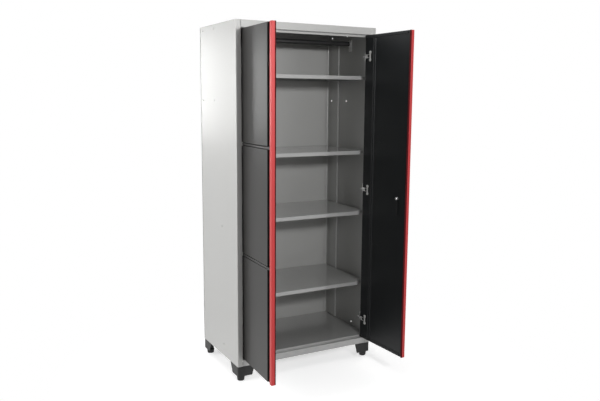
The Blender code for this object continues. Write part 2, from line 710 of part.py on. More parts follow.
def build_front_panel(side, sign, door, level, bottom, top):
    """Front panel folded back on four sides."""
    half = DOOR_SHEET / 2
    name = f"door_panel_{side}_{level}"
    low = door_point(sign, half, half, bottom + half)
    high = door_point(sign, PANEL_WIDTH - half, PANEL_DEPTH, top - half)
    panel = new_part(name, tray_mesh(name, low, high, (0, 1, 0)), GREY, door)
    thicken(panel, DOOR_SHEET)
    cut_hinge_notches(panel, sign)
    return panel


def build_cross_rail(side, sign, door, level, height):
    """Narrow channel in the seam between two front panels, carried across the finger recess to the pull."""
    half = DOOR_SHEET / 2
    name = f"door_cross_rail_{side}_{level}"
    reach = CROSS_RAIL_HEIGHT / 2 - half
    low = door_point(sign, half, SEAT_GAP + half, height - reach)
    high = door_point(sign, CROSS_RAIL_END - half, PANEL_DEPTH, height + reach)
    rail = new_part(name, tray_mesh(name, low, high, (0, 1, 0)), GREY, door)
    thicken(rail, DOOR_SHEET)


def build_pull(side, sign, door):
    """Full-height pull bar along the free edge, with a fin that wraps the pan's edge on the inner side."""
    name = "door_pull_" + side
    back = PAN_FACE - DOOR_SHEET - SEAT_GAP
    low = door_point(sign, PULL_START, 0.0, DOOR_BOTTOM)
    bm = new_block(low, door_point(sign, DOOR_WIDTH, back, DOOR_TOP))
    fin_root = door_point(sign, DOOR_WIDTH - PULL_FIN_WIDTH, back, DOOR_BOTTOM)
    whole = bm.verts[:] + bm.edges[:] + bm.faces[:]
    bmesh.ops.bisect_plane(bm, geom=whole, plane_co=fin_root, plane_no=(1, 0, 0))
    bm.normal_update()
    fin = [face for face in bm.faces
           if face.normal.y > 0.5 and sign * (face.calc_center_median().x - fin_root[0]) < 0.0]
    raised = bmesh.ops.extrude_face_region(bm, geom=fin)["geom"]
    bmesh.ops.delete(bm, geom=fin, context="FACES_ONLY")
    tip = [item for item in raised if isinstance(item, bmesh.types.BMVert)]
    bmesh.ops.translate(bm, verts=tip, vec=(0.0, DOOR_THICKNESS - back, 0.0))
    round_corner(bm, door_point(sign, DOOR_WIDTH, DOOR_THICKNESS, DOOR_BOTTOM), PULL_CHAMFER, 1)
    round_corner(bm, door_point(sign, DOOR_WIDTH, 0.0, DOOR_BOTTOM), PULL_ROUND, 3)
    round_corner(bm, door_point(sign, PULL_START, 0.0, DOOR_BOTTOM), PULL_ROUND, 3)
    return new_part(name, mesh_from(name, bm), RED, door)


def round_corner(bm, corner, radius, steps):
    """Bevel the upright edge nearest a corner of a long bar."""
    place = Vector(corner).xy
    upright = [edge for edge in bm.edges if abs(edge.verts[0].co.z - edge.verts[1].co.z) > DOOR_WIDTH]
    nearest = min(upright, key=lambda edge: (edge.verts[0].co.xy - place).length)
    bmesh.ops.bevel(bm, geom=[nearest], offset=radius, segments=steps, profile=0.5, affect="EDGES")


# Hinges
def build_hinge_arm(side, sign, level, height):
    """Hinge half on the case: plate on the stile, arm, and a nose with the bored knuckle."""
    name = f"hinge_arm_{side}_{level}"
    plate_outer = OPENING_X - SEAT_GAP
    plate_inner = plate_outer - ARM_PLATE
    arm_inner = plate_inner - ARM_WIDTH
    low = (sign * plate_inner, ARM_FRONT - BOOLEAN_OVERLAP, height - ARM_PLATE_HALF_HEIGHT)
    high = (sign * plate_outer, ARM_REAR + ARM_PLATE, height + ARM_PLATE_HALF_HEIGHT)
    arm = new_part(name, box_mesh(name, low, high), STEEL, CASE)
    join_box(arm, (sign * arm_inner, ARM_FRONT, height - ARM_HALF_HEIGHT),
             (sign * (plate_inner + ARM_PLATE / 2), ARM_REAR, height + ARM_HALF_HEIGHT))
    inner_half = ARM_HALF_HEIGHT - BOOLEAN_OVERLAP
    join_box(arm, (sign * (PIVOT_X - NOSE_INNER + BOOLEAN_OVERLAP), PIVOT_DEPTH, height - inner_half),
             (sign * (PIVOT_X + NOSE_OUTER), ARM_FRONT + ARM_PLATE, height + inner_half))
    axis = (sign * PIVOT_X, PIVOT_DEPTH)
    knuckle = cylinder_mesh(name + "_knuckle", KNUCKLE_RADIUS, "Z", height - ARM_HALF_HEIGHT,
                            height + ARM_HALF_HEIGHT, axis)
    combine(arm, new_cutter(name + "_knuckle", knuckle, CASE), "UNION")
    bore = cylinder_mesh(name + "_bore", HINGE_PIN_RADIUS + RUNNING_GAP, "Z", height - ARM_PLATE_HALF_HEIGHT,
                         height + ARM_PLATE_HALF_HEIGHT, axis)
    combine(arm, new_cutter(name + "_bore", bore, CASE), "DIFFERENCE")


def build_hinge_cup(side, sign, door, level, height):
    """Hinge half on the door: screw plate, two ears that reach to the axis, and the pin between them."""
    name = f"hinge_cup_{side}_{level}"
    seat = PAN_FACE + SEAT_GAP
    plate_end = CUP_PLATE_FROM_HINGE + CUP_PLATE_WIDTH
    low = door_point(sign, CUP_PLATE_FROM_HINGE, seat, height - CUP_PLATE_HALF_HEIGHT)
    high = door_point(sign, plate_end, seat + CUP_PLATE_THICKNESS, height + CUP_PLATE_HALF_HEIGHT)
    cup = new_part(name, box_mesh(name, low, high), STEEL, door)
    ear_edge = PIVOT_INSET - KNUCKLE_RADIUS
    ear_root = PIVOT_INSET + KNUCKLE_RADIUS
    for way in (-1, 1):
        near = height + way * EAR_INNER_Z
        far = height + way * EAR_OUTER_Z
        join_box(cup, door_point(sign, ear_edge, seat + BOOLEAN_OVERLAP, near),
                 door_point(sign, CUP_PLATE_FROM_HINGE + CUP_PLATE_WIDTH / 2, seat + EAR_RISE, far))
        inside = way * BOOLEAN_OVERLAP / 2
        join_box(cup, door_point(sign, ear_edge + BOOLEAN_OVERLAP, PIVOT_DEPTH, near + inside),
                 door_point(sign, ear_root, seat + EAR_RISE / 2, far - inside))
        disc = cylinder_mesh(name + "_ear", KNUCKLE_RADIUS, "Z", near, far, (0.0, 0.0))
        combine(cup, new_cutter(name + "_ear", disc, door), "UNION")
    pin = cylinder_mesh(name + "_pin", HINGE_PIN_RADIUS, "Z", height - EAR_OUTER_Z + BOOLEAN_OVERLAP,
                        height + EAR_OUTER_Z - BOOLEAN_OVERLAP, (0.0, 0.0))
    combine(cup, new_cutter(name + "_pin", pin, door), "UNION")


# Lock
def lock_frame(door, sign):
    """Empty on the lock's axis, at the door's outer face, with +Z out of the door's front."""
    frame = new_parent("lock_axis", door_point(sign, LOCK_FROM_HINGE, 0.0, LOCK_HEIGHT), parent=door)
    frame.rotation_euler = (math.pi / 2, 0.0, 0.0)
    return frame


def bore_for_lock(part, frame):
    """Cut the lock's hole through a door piece."""
    name = part.name + "_lock_hole"
    mesh = cylinder_mesh(name, LOCK_BARREL_RADIUS + RUNNING_GAP, "Z", DOOR_THICKNESS, -2 * DOOR_THICKNESS,
                         (0.0, 0.0), ROUND_STEPS)
    combine(part, new_cutter(name, mesh, frame), "DIFFERENCE")


def build_lock(frame):
    """Cam lock: flanged housing through the door, and the turning plug with its cam."""
    barrel_back = -(PAN_FACE + LOCK_BARREL_REACH)
    bore = LOCK_PLUG_RADIUS + RUNNING_GAP
    housing = (
        (bore, LOCK_BEZEL + SEAT_GAP),
        (LOCK_BEZEL_RADIUS - LOCK_BEZEL / 2, LOCK_BEZEL + SEAT_GAP),
        (LOCK_BEZEL_RADIUS, LOCK_BEZEL / 2 + SEAT_GAP),
        (LOCK_BEZEL_RADIUS, SEAT_GAP),
        (LOCK_BARREL_RADIUS, SEAT_GAP),
        (LOCK_BARREL_RADIUS, barrel_back),
        (bore, barrel_back),
    )
    turned_part("lock_housing", housing, STEEL, frame, closed=True)
    cam_front = barrel_back - SEAT_GAP
    cam_back = cam_front - CAM_THICKNESS
    rod = cylinder_mesh("lock_cam", LOCK_PLUG_RADIUS, "Z", LOCK_BEZEL, cam_back - CAM_THICKNESS,
                        (0.0, 0.0), ROUND_STEPS)
    plug = new_part("lock_cam", rod, DARK_STEEL, frame)
    length = DOOR_WIDTH + DOOR_MEET_GAP + CAM_CATCH - LOCK_FROM_HINGE
    join_box(plug, (-CAM_WIDTH / 2, CAM_WIDTH / 2, cam_front), (CAM_WIDTH / 2, -length, cam_back))
    cut_box(plug, (-KEYWAY_WIDTH / 2, -KEYWAY_HEIGHT / 2, LOCK_BEZEL - KEYWAY_DEPTH),
            (KEYWAY_WIDTH / 2, KEYWAY_HEIGHT / 2, 2 * LOCK_BEZEL))


# Assembly
def build_case():
    """Build the panels, the shelving, the rod and the feet."""
    for side, sign in SIDES.items():
        build_side_panel(side, sign)
    build_back_panel()
    build_top_panel()
    build_bottom_panel()
    for side, sign in SIDES.items():
        build_standard("shelf_standard_front_" + side, sign, FRONT_STANDARD_Y, FRONT_STANDARD_WIDTH,
                       FRONT_SLOT_INSET)
        build_standard("shelf_standard_rear_" + side, sign, REAR_STANDARD_Y, REAR_STANDARD_WIDTH,
                       REAR_SLOT_INSET)
    for number, top in enumerate(SHELF_TOPS, start=1):
        build_shelf(number, top)
        for side, sign in SIDES.items():
            build_support(side, sign, number, top)
    build_hanging_rod()
    for side, sign in SIDES.items():
        build_rod_bracket(side, sign)
        for end in ("front", "rear"):
            build_foot(f"{end}_{side}", sign, end == "rear")
            build_leveller(f"{end}_{side}", sign, end == "rear")


def build_door(side, sign):
    """Build one door on its hinge axis, turned to its open place, with both halves of its hinges."""
    door = new_parent("hinge_axis_" + side, (sign * PIVOT_X, PIVOT_DEPTH, 0.0), sign * DOOR_OPEN_ANGLE, CASE)
    pan = build_door_pan(side, sign, door)
    panels = {level: build_front_panel(side, sign, door, level, bottom, top)
              for level, (bottom, top) in panel_levels().items()}
    for level, height in zip(("lower", "upper"), SEAM_HEIGHTS):
        build_cross_rail(side, sign, door, level, height)
    build_pull(side, sign, door)
    for level, height in HINGE_HEIGHTS.items():
        build_hinge_arm(side, sign, level, height)
        build_hinge_cup(side, sign, door, level, height)
    if side == "right":
        frame = lock_frame(door, sign)
        bore_for_lock(pan, frame)
        bore_for_lock(panels["middle"], frame)
        build_lock(frame)


build_case()
for door_side, door_sign in SIDES.items():
    build_door(door_side, door_sign)
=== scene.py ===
"""Looks of a double door tool cabinet in folded sheet steel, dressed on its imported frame.

Units are metres, +X is to the right seen from the front, +Y to the back, +Z up.
Case pieces are drawn from the middle of the case's front lower edge. Door pieces are drawn
on the shut left door, from its hinge edge, its outer face and the bottom of the case.
"""

import logging
import math
from dataclasses import dataclass
from enum import Enum
from typing import Any, Callable, Optional, Sequence, Union

import bmesh
import bpy
from mathutils import Matrix, Vector


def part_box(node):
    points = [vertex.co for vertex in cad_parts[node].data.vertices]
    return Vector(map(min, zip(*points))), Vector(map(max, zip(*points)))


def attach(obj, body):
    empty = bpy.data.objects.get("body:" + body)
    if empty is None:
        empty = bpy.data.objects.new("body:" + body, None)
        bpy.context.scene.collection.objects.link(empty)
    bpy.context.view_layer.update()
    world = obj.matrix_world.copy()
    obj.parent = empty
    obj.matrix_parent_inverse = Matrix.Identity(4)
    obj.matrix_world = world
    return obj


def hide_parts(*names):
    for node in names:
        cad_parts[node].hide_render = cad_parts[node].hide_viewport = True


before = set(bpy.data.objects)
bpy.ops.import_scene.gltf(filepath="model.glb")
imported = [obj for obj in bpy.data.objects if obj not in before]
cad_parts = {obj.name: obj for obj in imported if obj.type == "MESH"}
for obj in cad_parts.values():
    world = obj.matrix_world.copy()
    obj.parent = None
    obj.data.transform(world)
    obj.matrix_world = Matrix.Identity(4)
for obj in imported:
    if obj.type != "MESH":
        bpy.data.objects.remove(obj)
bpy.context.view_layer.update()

Point = Sequence[float]
Pair = tuple[float, float]
Triple = tuple[float, float, float]
Colour = tuple[float, float, float]

LOG = logging.getLogger("tool_cabinet")

# Side of the small square that a line is drawn from, before it is merged to a point.
PENCIL = 0.001
# Places closer than this count as one.
WELD = 0.00001
# Small offset that keeps two faces of a Boolean out of one plane.
CLEAR = 0.0001
# Distance from the middle that is well outside the cabinet.
BEYOND = 1.0
BOTH_WAYS = (-1, 1)
ORIGIN = (0.0, 0.0, 0.0)
FULL_SIZE = (1.0, 1.0, 1.0)

SHARP_ANGLE = math.radians(32)
FOLD_ANGLE = math.radians(25)
SOFTEN_ANGLE = math.radians(40)
SOFTEN_STEPS = 2
# A face looks along an axis when its normal has more than this of it.
FACING = 0.5

# Middle of a noise's range, and how many finer layers a noise has.
EVEN = 0.5
PLAIN_NOISE = 1.0
FINE_NOISE = 2.0
RICH_NOISE = 3.0
WHITE = (1.0, 1.0, 1.0, 1.0)


class Axis(Enum):
    """Direction of the frame, as the place of its letter in a vector."""

    X = 0
    Y = 1
    Z = 2


class Side(Enum):
    """Side of the cabinet, seen from the front."""

    LEFT = "left"
    RIGHT = "right"


class Pick(Enum):
    """Kind of mesh part that a selection is made of."""

    VERT = "VERT"
    EDGE = "EDGE"
    FACE = "FACE"


class Value:
    """Number or colour that varies over a surface; arithmetic on it adds Math nodes."""

    def __init__(self, sheet: "ShaderSheet", socket: Optional[bpy.types.NodeSocket]) -> None:
        """Wrap an output socket of a node sheet."""
        self.sheet = sheet
        self.socket = socket

    def _maths(self, operation: str, left: "Operand", right: "Operand") -> "Value":
        """Add a Math node for two operands."""
        return self.sheet.node("ShaderNodeMath", {"operation": operation}, {0: left, 1: right})

    def __add__(self, other: "Operand") -> "Value":
        """Add."""
        return self._maths("ADD", self, other)

    def __radd__(self, other: "Operand") -> "Value":
        """Add to a number."""
        return self._maths("ADD", other, self)

    def __sub__(self, other: "Operand") -> "Value":
        """Subtract."""
        return self._maths("SUBTRACT", self, other)

    def __rsub__(self, other: "Operand") -> "Value":
        """Subtract from a number."""
        return self._maths("SUBTRACT", other, self)

    def __mul__(self, other: "Operand") -> "Value":
        """Multiply."""
        return self._maths("MULTIPLY", self, other)

    def __rmul__(self, other: "Operand") -> "Value":
        """Multiply a number."""
        return self._maths("MULTIPLY", other, self)

    def highest(self, other: "Operand") -> "Value":
        """Give the larger of two values."""
        return self._maths("MAXIMUM", self, other)


Operand = Union[Value, float]


class ShaderSheet:
    """Node tree of a material or a world, filled from Python."""

    def __init__(self, owner: Union[bpy.types.Material, bpy.types.World]) -> None:
        """Empty the owner's node tree.

        Args:
            owner: Material or world that the nodes belong to.
        """
        owner.use_nodes = True
        self.tree = owner.node_tree
        self.tree.nodes.clear()

    def node(self, kind: str, settings: Optional[dict[str, Any]] = None,
             inputs: Optional[dict[Union[str, int], Any]] = None, output: Union[str, int] = 0) -> Value:
        """Add a node.

        Args:
            kind: Blender's name of the node type.
            settings: Properties that are set before the sockets.
            inputs: Numbers, colours or links for the sockets, by name or place.
            output: Name or place of the output that is wanted.

        Returns:
            The wanted output, or an empty value for a node that has none.
        """
        node = self.tree.nodes.new(kind)
        for key, setting in (settings or {}).items():
            setattr(node, key, setting)
        for key, value in (inputs or {}).items():
            if isinstance(value, Value):
                self.tree.links.new(value.socket, node.inputs[key])
            else:
                node.inputs[key].default_value = value
        return Value(self, node.outputs[output] if len(node.outputs) else None)

    def place(self) -> Value:
        """Give the point's place on the piece, in metres."""
        return self.node("ShaderNodeTexCoord", output="Object")

    def noise(self, place: Value, scale: float, detail: float = FINE_NOISE) -> Value:
        """Give soft noise with a number of waves per metre."""
        return self.node("ShaderNodeTexNoise", inputs={"Vector": place, "Scale": scale, "Detail": detail})

    def cells(self, place: Value, scale: float) -> Value:
        """Give one random number for each cell of a grain pattern."""
        colour = self.node("ShaderNodeTexVoronoi", inputs={"Vector": place, "Scale": scale}, output="Color")
        return self.node("ShaderNodeSeparateColor", inputs={"Color": colour})

    def pits(self, place: Value, scale: float) -> Value:
        """Give the soft distance to the middle of the nearest cell."""
        return self.node("ShaderNodeTexVoronoi", {"feature": "SMOOTH_F1"},
                         {"Vector": place, "Scale": scale}, "Distance")

    def stretched(self, place: Value, scale: Point) -> Value:
        """Scale a place by its own number along each axis."""
        return self.node("ShaderNodeMapping", inputs={"Vector": place, "Scale": tuple(scale)})

    def blend(self, share: Operand, first: Colour, second: Colour) -> Value:
        """Mix two colours."""
        return self.node("ShaderNodeMix", {"data_type": "RGBA"},
                         {0: share, 6: (*first, 1.0), 7: (*second, 1.0)}, 2)

    def chosen(self, share: Value, first: Value, second: Value) -> Value:
        """Mix two shaders."""
        return self.node("ShaderNodeMixShader", inputs={0: share, 1: first, 2: second})

    def bare_ray(self) -> Value:
        """Give 1 for the rays that show the background itself: camera, glossy and transmission rays."""
        rays = [self.node("ShaderNodeLightPath", output=name)
                for name in ("Is Camera Ray", "Is Glossy Ray", "Is Transmission Ray")]
        return rays[0].highest(rays[1]).highest(rays[2])


@dataclass(frozen=True)
class Pattern:
    """What a finish varies over the surface."""

    tone: Value
    roughness: Value
    height: Value


@dataclass(frozen=True)
class Finish:
    """Surface finish with the numbers that its shader starts from."""

    name: str
    slot: str
    colour: Colour
    roughness: float
    metallic: float = 0.0
    spread: float = 0.06
    coat: float = 0.0
    coat_roughness: float = 0.15
    specular: float = 0.5
    relief: float = 0.2
    relief_depth: float = 0.0002

    def pattern(self, sheet: ShaderSheet) -> Pattern:
        """Give the pattern of the finish.

        Args:
            sheet: Node sheet that takes the pattern's nodes.

        Returns:
            Tone from 0 to 1, roughness and height.
        """
        raise NotImplementedError

    def shade(self, factor: float) -> Colour:
        """Give the finish's colour, lighter or darker."""
        return tuple(min(1.0, channel * factor) for channel in self.colour)

    def material(self) -> bpy.types.Material:
        """Make the material, or give the one that is there.

        Returns:
            The finish as a material.
        """
        known = bpy.data.materials.get(self.name)
        if known:
            return known
        material = bpy.data.materials.new(self.name)
        material.diffuse_color = (*self.colour, 1.0)
        sheet = ShaderSheet(material)
        pattern = self.pattern(sheet)
        colour = sheet.blend(pattern.tone, self.shade(1.0 - self.spread), self.shade(1.0 + self.spread))
        bump = sheet.node("ShaderNodeBump", inputs={
            "Strength": self.relief, "Distance": self.relief_depth, "Height": pattern.height})
        shader = sheet.node("ShaderNodeBsdfPrincipled", inputs={
            "Base Color": colour, "Roughness": pattern.roughness, "Metallic": self.metallic,
            "Specular IOR Level": self.specular, "Coat Weight": self.coat,
            "Coat Roughness": self.coat_roughness, "Normal": bump})
        sheet.node("ShaderNodeOutputMaterial", inputs={"Surface": shader})
        return material


@dataclass(frozen=True)
class PowderCoat(Finish):
    """Baked powder on sheet steel: orange peel, fine grain and a little metal fleck.

    The scales are in waves per metre. The shares and the sway are for cloud, peel and fleck.
    """

    peel: float = 260.0
    grain: float = 1400.0
    fleck: float = 1900.0
    cloud: float = 2.6
    shares: Triple = (0.5, 0.2, 0.3)
    sway: Triple = (0.08, 0.10, 0.08)
    peel_height: float = 0.65
    grain_height: float = 0.35

    def pattern(self, sheet: ShaderSheet) -> Pattern:
        """Give clouds and flecks in tone, and orange peel in height.

        Args:
            sheet: Node sheet that takes the pattern's nodes.

        Returns:
            Tone from 0 to 1, roughness and height.
        """
        place = sheet.place()
        peel = sheet.noise(place, self.peel, PLAIN_NOISE)
        grain = sheet.noise(place, self.grain)
        cloud = sheet.noise(place, self.cloud, RICH_NOISE)
        fleck = sheet.cells(place, self.fleck)
        clouds, peels, flecks = self.shares
        tone = clouds * cloud + peels * peel + flecks * fleck
        clouds, peels, flecks = self.sway
        roughness = (self.roughness + peels * (peel - EVEN) + clouds * (cloud - EVEN)
                     + flecks * (fleck - EVEN))
        return Pattern(tone, roughness, self.peel_height * peel + self.grain_height * grain)


@dataclass(frozen=True)
class DrawnMetal(Finish):
    """Drawn, brushed or plated metal with fine lines along one direction.

    The shares and the sway are for lines and smears.
    """

    lines: Triple = (900.0, 900.0, 7.0)
    smear: float = 9.0
    shares: Pair = (0.7, 0.3)
    sway: Pair = (0.16, 0.12)

    def pattern(self, sheet: ShaderSheet) -> Pattern:
        """Give lines in tone, roughness and height, and soft smears in tone and roughness.

        Args:
            sheet: Node sheet that takes the pattern's nodes.

        Returns:
            Tone from 0 to 1, roughness and height.
        """
        place = sheet.place()
        line = sheet.noise(sheet.stretched(place, self.lines), 1.0, RICH_NOISE)
        smear = sheet.noise(place, self.smear, RICH_NOISE)
        lines, smears = self.shares
        tone = lines * line + smears * smear
        lines, smears = self.sway
        roughness = self.roughness + lines * (line - EVEN) + smears * (smear - EVEN)
        return Pattern(tone, roughness, line)


@dataclass(frozen=True)
class ZincPlate(Finish):
    """Zinc plating with its spangles of slightly different brightness.

    The shares and the sway are for spangles and grain.
    """

    spangle: float = 170.0
    grain: float = 1600.0
    shares: Pair = (0.75, 0.25)
    sway: Pair = (0.18, 0.08)

    def pattern(self, sheet: ShaderSheet) -> Pattern:
        """Give spangles in tone and roughness, and a fine tooth in height.

        Args:
            sheet: Node sheet that takes the pattern's nodes.

        Returns:
            Tone from 0 to 1, roughness and height.
        """
        place = sheet.place()
        spangle = sheet.cells(place, self.spangle)
        grain = sheet.noise(place, self.grain)
        spangles, grains = self.shares
        tone = spangles * spangle + grains * grain
        spangles, grains = self.sway
        roughness = self.roughness + spangles * (spangle - EVEN) + grains * (grain - EVEN)
        return Pattern(tone, roughness, grain)


@dataclass(frozen=True)
class MouldedPlastic(Finish):
    """Injection moulding with an eroded skin.

    The shares and the sway are for flow marks and skin.
    """

    skin: float = 700.0
    flow: float = 24.0
    shares: Pair = (0.5, 0.5)
    sway: Pair = (0.14, 0.10)

    def pattern(self, sheet: ShaderSheet) -> Pattern:
        """Give an eroded skin in height, and flow marks in tone and roughness.

        Args:
            sheet: Node sheet that takes the pattern's nodes.

        Returns:
            Tone from 0 to 1, roughness and height.
        """
        place = sheet.place()
        skin = sheet.pits(place, self.skin)
        flow = sheet.noise(place, self.flow, RICH_NOISE)
        flows, skins = self.shares
        tone = flows * flow + skins * skin
        flows, skins = self.sway
        roughness = self.roughness + flows * (flow - EVEN) + skins * (skin - EVEN)
        return Pattern(tone, roughness, skin)


class Finishes(Enum):
    """Finishes of the cabinet: name, material slot of the record, colour, roughness and the rest."""

    SILVER = PowderCoat("silver_powder_coat", "case_paint", (0.43, 0.43, 0.42), 0.42, metallic=0.25,
                        spread=0.05)
    # Glossier copy of the case's silver for the shelves and the bottom panel; its darker colour is painted
    # shade of these inner, lower surfaces.
    SHELF = PowderCoat("silver_shelf_coat", "case_paint", (0.35, 0.35, 0.345), 0.34, metallic=0.25,
                       spread=0.05, coat=1.0, coat_roughness=0.06)
    GRAPHITE = PowderCoat("graphite_panel_coat", "panel_paint", (0.027, 0.026, 0.025), 0.36, spread=0.16,
                          specular=0.2)
    BLACK = PowderCoat("black_pan_coat", "pan_paint", (0.007, 0.008, 0.009), 0.42, spread=0.20,
                       specular=0.35)
    # Painted shade: dark red that stands for the red pull fin's side in shadow.
    MAROON = PowderCoat("maroon_edge_coat", "pan_paint", (0.070, 0.006, 0.008), 0.60, spread=0.20,
                        specular=0.05)
    RED = DrawnMetal("red_anodised_bar", "pull_red", (0.46, 0.029, 0.030), 0.46, metallic=0.15,
                     spread=0.10, relief=0.10)
    NYLON = MouldedPlastic("black_foot_nylon", "foot_plastic", (0.012, 0.012, 0.012), 0.52, spread=0.25,
                           specular=0.36, relief=0.35, relief_depth=0.0003)
    NICKEL = DrawnMetal("nickel_hinge_plate", "hinge_steel", (0.60, 0.595, 0.58), 0.46, metallic=0.6,
                        spread=0.08, lines=(60.0, 60.0, 1200.0), relief=0.08)
    BRIGHT = DrawnMetal("bright_hinge_arm", "hinge_steel", (0.90, 0.90, 0.89), 0.22, metallic=0.8,
                        spread=0.05, lines=(60.0, 1200.0, 1200.0), relief=0.08)
    ZINC = ZincPlate("zinc_bracket_plate", "bracket_steel", (0.55, 0.555, 0.56), 0.42, metallic=1.0,
                     spread=0.12, relief=0.12)
    # Lighter than the case's silver: partly the plate's own lighter colour, partly a painted highlight that
    # makes its lip a bright line in the header's shade.
    BRACKET = DrawnMetal("bright_bracket_plate", "bracket_steel", (0.86, 0.86, 0.85), 0.32, metallic=0.35,
                         spread=0.05, lines=(60.0, 60.0, 1200.0), relief=0.08)
    LACQUER = DrawnMetal("dark_rod_lacquer", "rod_steel", (0.030, 0.030, 0.031), 0.36, metallic=0.3,
                         spread=0.25, lines=(6.0, 1000.0, 1000.0), coat=0.3, relief=0.12)
    CHROME = DrawnMetal("chrome_lock_plate", "lock_chrome", (0.80, 0.80, 0.80), 0.16, metallic=1.0,
                        spread=0.05, lines=(700.0, 700.0, 700.0), relief=0.04)
    CAM = ZincPlate("black_cam_plate", "cam_steel", (0.016, 0.016, 0.017), 0.46, metallic=0.4, spread=0.25,
                    relief=0.12)


class Bench:
    """Piece on the bench, shaped by the moves of hand modelling in edit mode."""

    def __init__(self, obj: bpy.types.Object) -> None:
        """Take up a mesh object."""
        self.obj = obj

    @staticmethod
    def clear() -> None:
        """Leave edit mode and deselect everything."""
        if bpy.context.mode != "OBJECT":
            bpy.ops.object.mode_set(mode="OBJECT")
        bpy.ops.object.select_all(action="DESELECT")

    @classmethod
    def _taken_up(cls, name: str) -> "Bench":
        """Take up the primitive that was just added, and put its place in its mesh.

        Args:
            name: Name of the piece.

        Returns:
            The primitive on the bench.
        """
        obj = bpy.context.active_object
        obj.name = name
        obj.data.name = name
        bpy.ops.object.transform_apply(location=True, rotation=True, scale=True)
        return cls(obj)

    @classmethod
    def block(cls, name: str, low: Point, high: Point) -> "Bench":
        """Start from a block.

        Args:
            name: Name of the piece.
            low: One corner.
            high: The opposite corner.

        Returns:
            The block on the bench.
        """
        cls.clear()
        middle = [(first + second) / 2 for first, second in zip(low, high)]
        size = [abs(second - first) for first, second in zip(low, high)]
        bpy.ops.mesh.primitive_cube_add(size=1.0, location=middle, scale=size)
        return cls._taken_up(name)

    @classmethod
    def bar(cls, name: str, radius: float, start: Point, end: Point, steps: int = 32,
            fill: str = "NGON") -> "Bench":
        """Start from a round bar.

        Args:
            name: Name of the piece.
            radius: Radius of the bar.
            start: Middle of one end.
            end: Middle of the other end.
            steps: Number of sides.
            fill: How the ends are filled.

        Returns:
            The bar on the bench.
        """
        cls.clear()
        way = Vector(end) - Vector(start)
        bpy.ops.mesh.primitive_cylinder_add(
            vertices=steps, radius=radius, depth=way.length, location=(Vector(start) + Vector(end)) / 2,
            rotation=way.to_track_quat("Z", "Y").to_euler(), end_fill_type=fill)
        return cls._taken_up(name)

    @classmethod
    def line(cls, name: str, points: Sequence[Point]) -> "Bench":
        """Draw a line by extruding a point from place to place.

        Args:
            name: Name of the piece.
            points: Corners of the line.

        Returns:
            The line on the bench.
        """
        cls.clear()
        bpy.ops.mesh.primitive_plane_add(size=PENCIL, location=points[0])
        bench = cls._taken_up(name)
        bench.all()
        bpy.ops.mesh.merge(type="CENTER")
        for here, there in zip(points, points[1:]):
            bench.extrude(Vector(there) - Vector(here))
        return bench

    @classmethod
    def outline(cls, name: str, points: Sequence[Point]) -> "Bench":
        """Draw a closed outline and fill it with one face.

        Args:
            name: Name of the piece.
            points: Corners of the outline.

        Returns:
            The flat face on the bench.
        """
        bench = cls.line(name, [*points, points[0]])
        bench.all()
        bpy.ops.mesh.remove_doubles(threshold=WELD)
        bpy.ops.mesh.edge_face_add()
        return bench

    @classmethod
    def turned(cls, name: str, profile: Sequence[Point], centre: Point, axis: Point,
               steps: int = 48) -> "Bench":
        """Spin a profile all the way round an axis.

        Args:
            name: Name of the piece.
            profile: Corners of the profile.
            centre: Point of the axis.
            axis: Direction of the axis.
            steps: Number of steps of the full turn.

        Returns:
            The turned piece on the bench.
        """
        bench = cls.line(name, profile)
        bench.all()
        bpy.ops.mesh.spin(steps=steps, angle=math.tau, center=centre, axis=axis, use_auto_merge=True)
        bench.all()
        bpy.ops.mesh.remove_doubles(threshold=WELD)
        bpy.ops.mesh.normals_make_consistent(inside=False)
        return bench

    def editing(self, on: bool) -> None:
        """Go into or out of edit mode on this piece alone.

        Args:
            on: True to edit the mesh, False to handle the piece as a whole.
        """
        active = bpy.context.view_layer.objects.active
        if on and bpy.context.mode == "EDIT_MESH" and active is self.obj:
            return
        self.clear()
        bpy.context.view_layer.objects.active = self.obj
        self.obj.select_set(True)
        if on:
            bpy.ops.object.mode_set(mode="EDIT")

    def all(self) -> "Bench":
        """Select the whole mesh.

        Returns:
            The same piece.
        """
        self.editing(True)
        bpy.ops.mesh.select_mode(type=Pick.VERT.value)
        bpy.ops.mesh.select_all(action="SELECT")
        return self

    def _select(self, kind: Pick, test: Callable[[Any], bool]) -> "Bench":
        """Select the parts of one kind that pass a test.

        Args:
            kind: Corners, edges or faces.
            test: Test that a part has to pass.

        Returns:
            The same piece.
        """
        self.editing(True)
        bpy.ops.mesh.select_mode(type=kind.value)
        bpy.ops.mesh.select_all(action="DESELECT")
        shape = bmesh.from_edit_mesh(self.obj.data)
        shape.normal_update()
        parts = {Pick.VERT: shape.verts, Pick.EDGE: shape.edges, Pick.FACE: shape.faces}[kind]
        chosen = [part for part in parts if test(part)]
        if not chosen:
            raise ValueError(f"nothing to select on {self.obj.name}")
        for part in chosen:
            part.select_set(True)
        bmesh.update_edit_mesh(self.obj.data, loop_triangles=False, destructive=False)
        return self

    def points(self, test: Callable[[Vector], bool]) -> "Bench":
        """Select the corners whose place passes a test."""
        return self._select(Pick.VERT, lambda vert: test(vert.co))

    def faces(self, test: Callable[[Vector, Vector], bool]) -> "Bench":
        """Select the faces whose centre and normal pass a test."""
        return self._select(Pick.FACE, lambda face: test(face.calc_center_median(), face.normal))

    def edges(self, test: Callable[[Vector, Vector], bool]) -> "Bench":
        """Select the edges whose two ends pass a test."""
        return self._select(Pick.EDGE, lambda edge: test(edge.verts[0].co, edge.verts[1].co))

    def edges_along(self, axis: Axis) -> "Bench":
        """Select the edges that run along an axis."""
        return self.edges(lambda a, b: abs(a[axis.value] - b[axis.value]) > WELD)

    def open_edges(self, test: Callable[[Vector, Vector], bool] = lambda a, b: True) -> "Bench":
        """Select the free edges of a sheet whose two ends pass a test."""
        return self._select(Pick.EDGE, lambda edge: edge.is_boundary
                            and test(edge.verts[0].co, edge.verts[1].co))

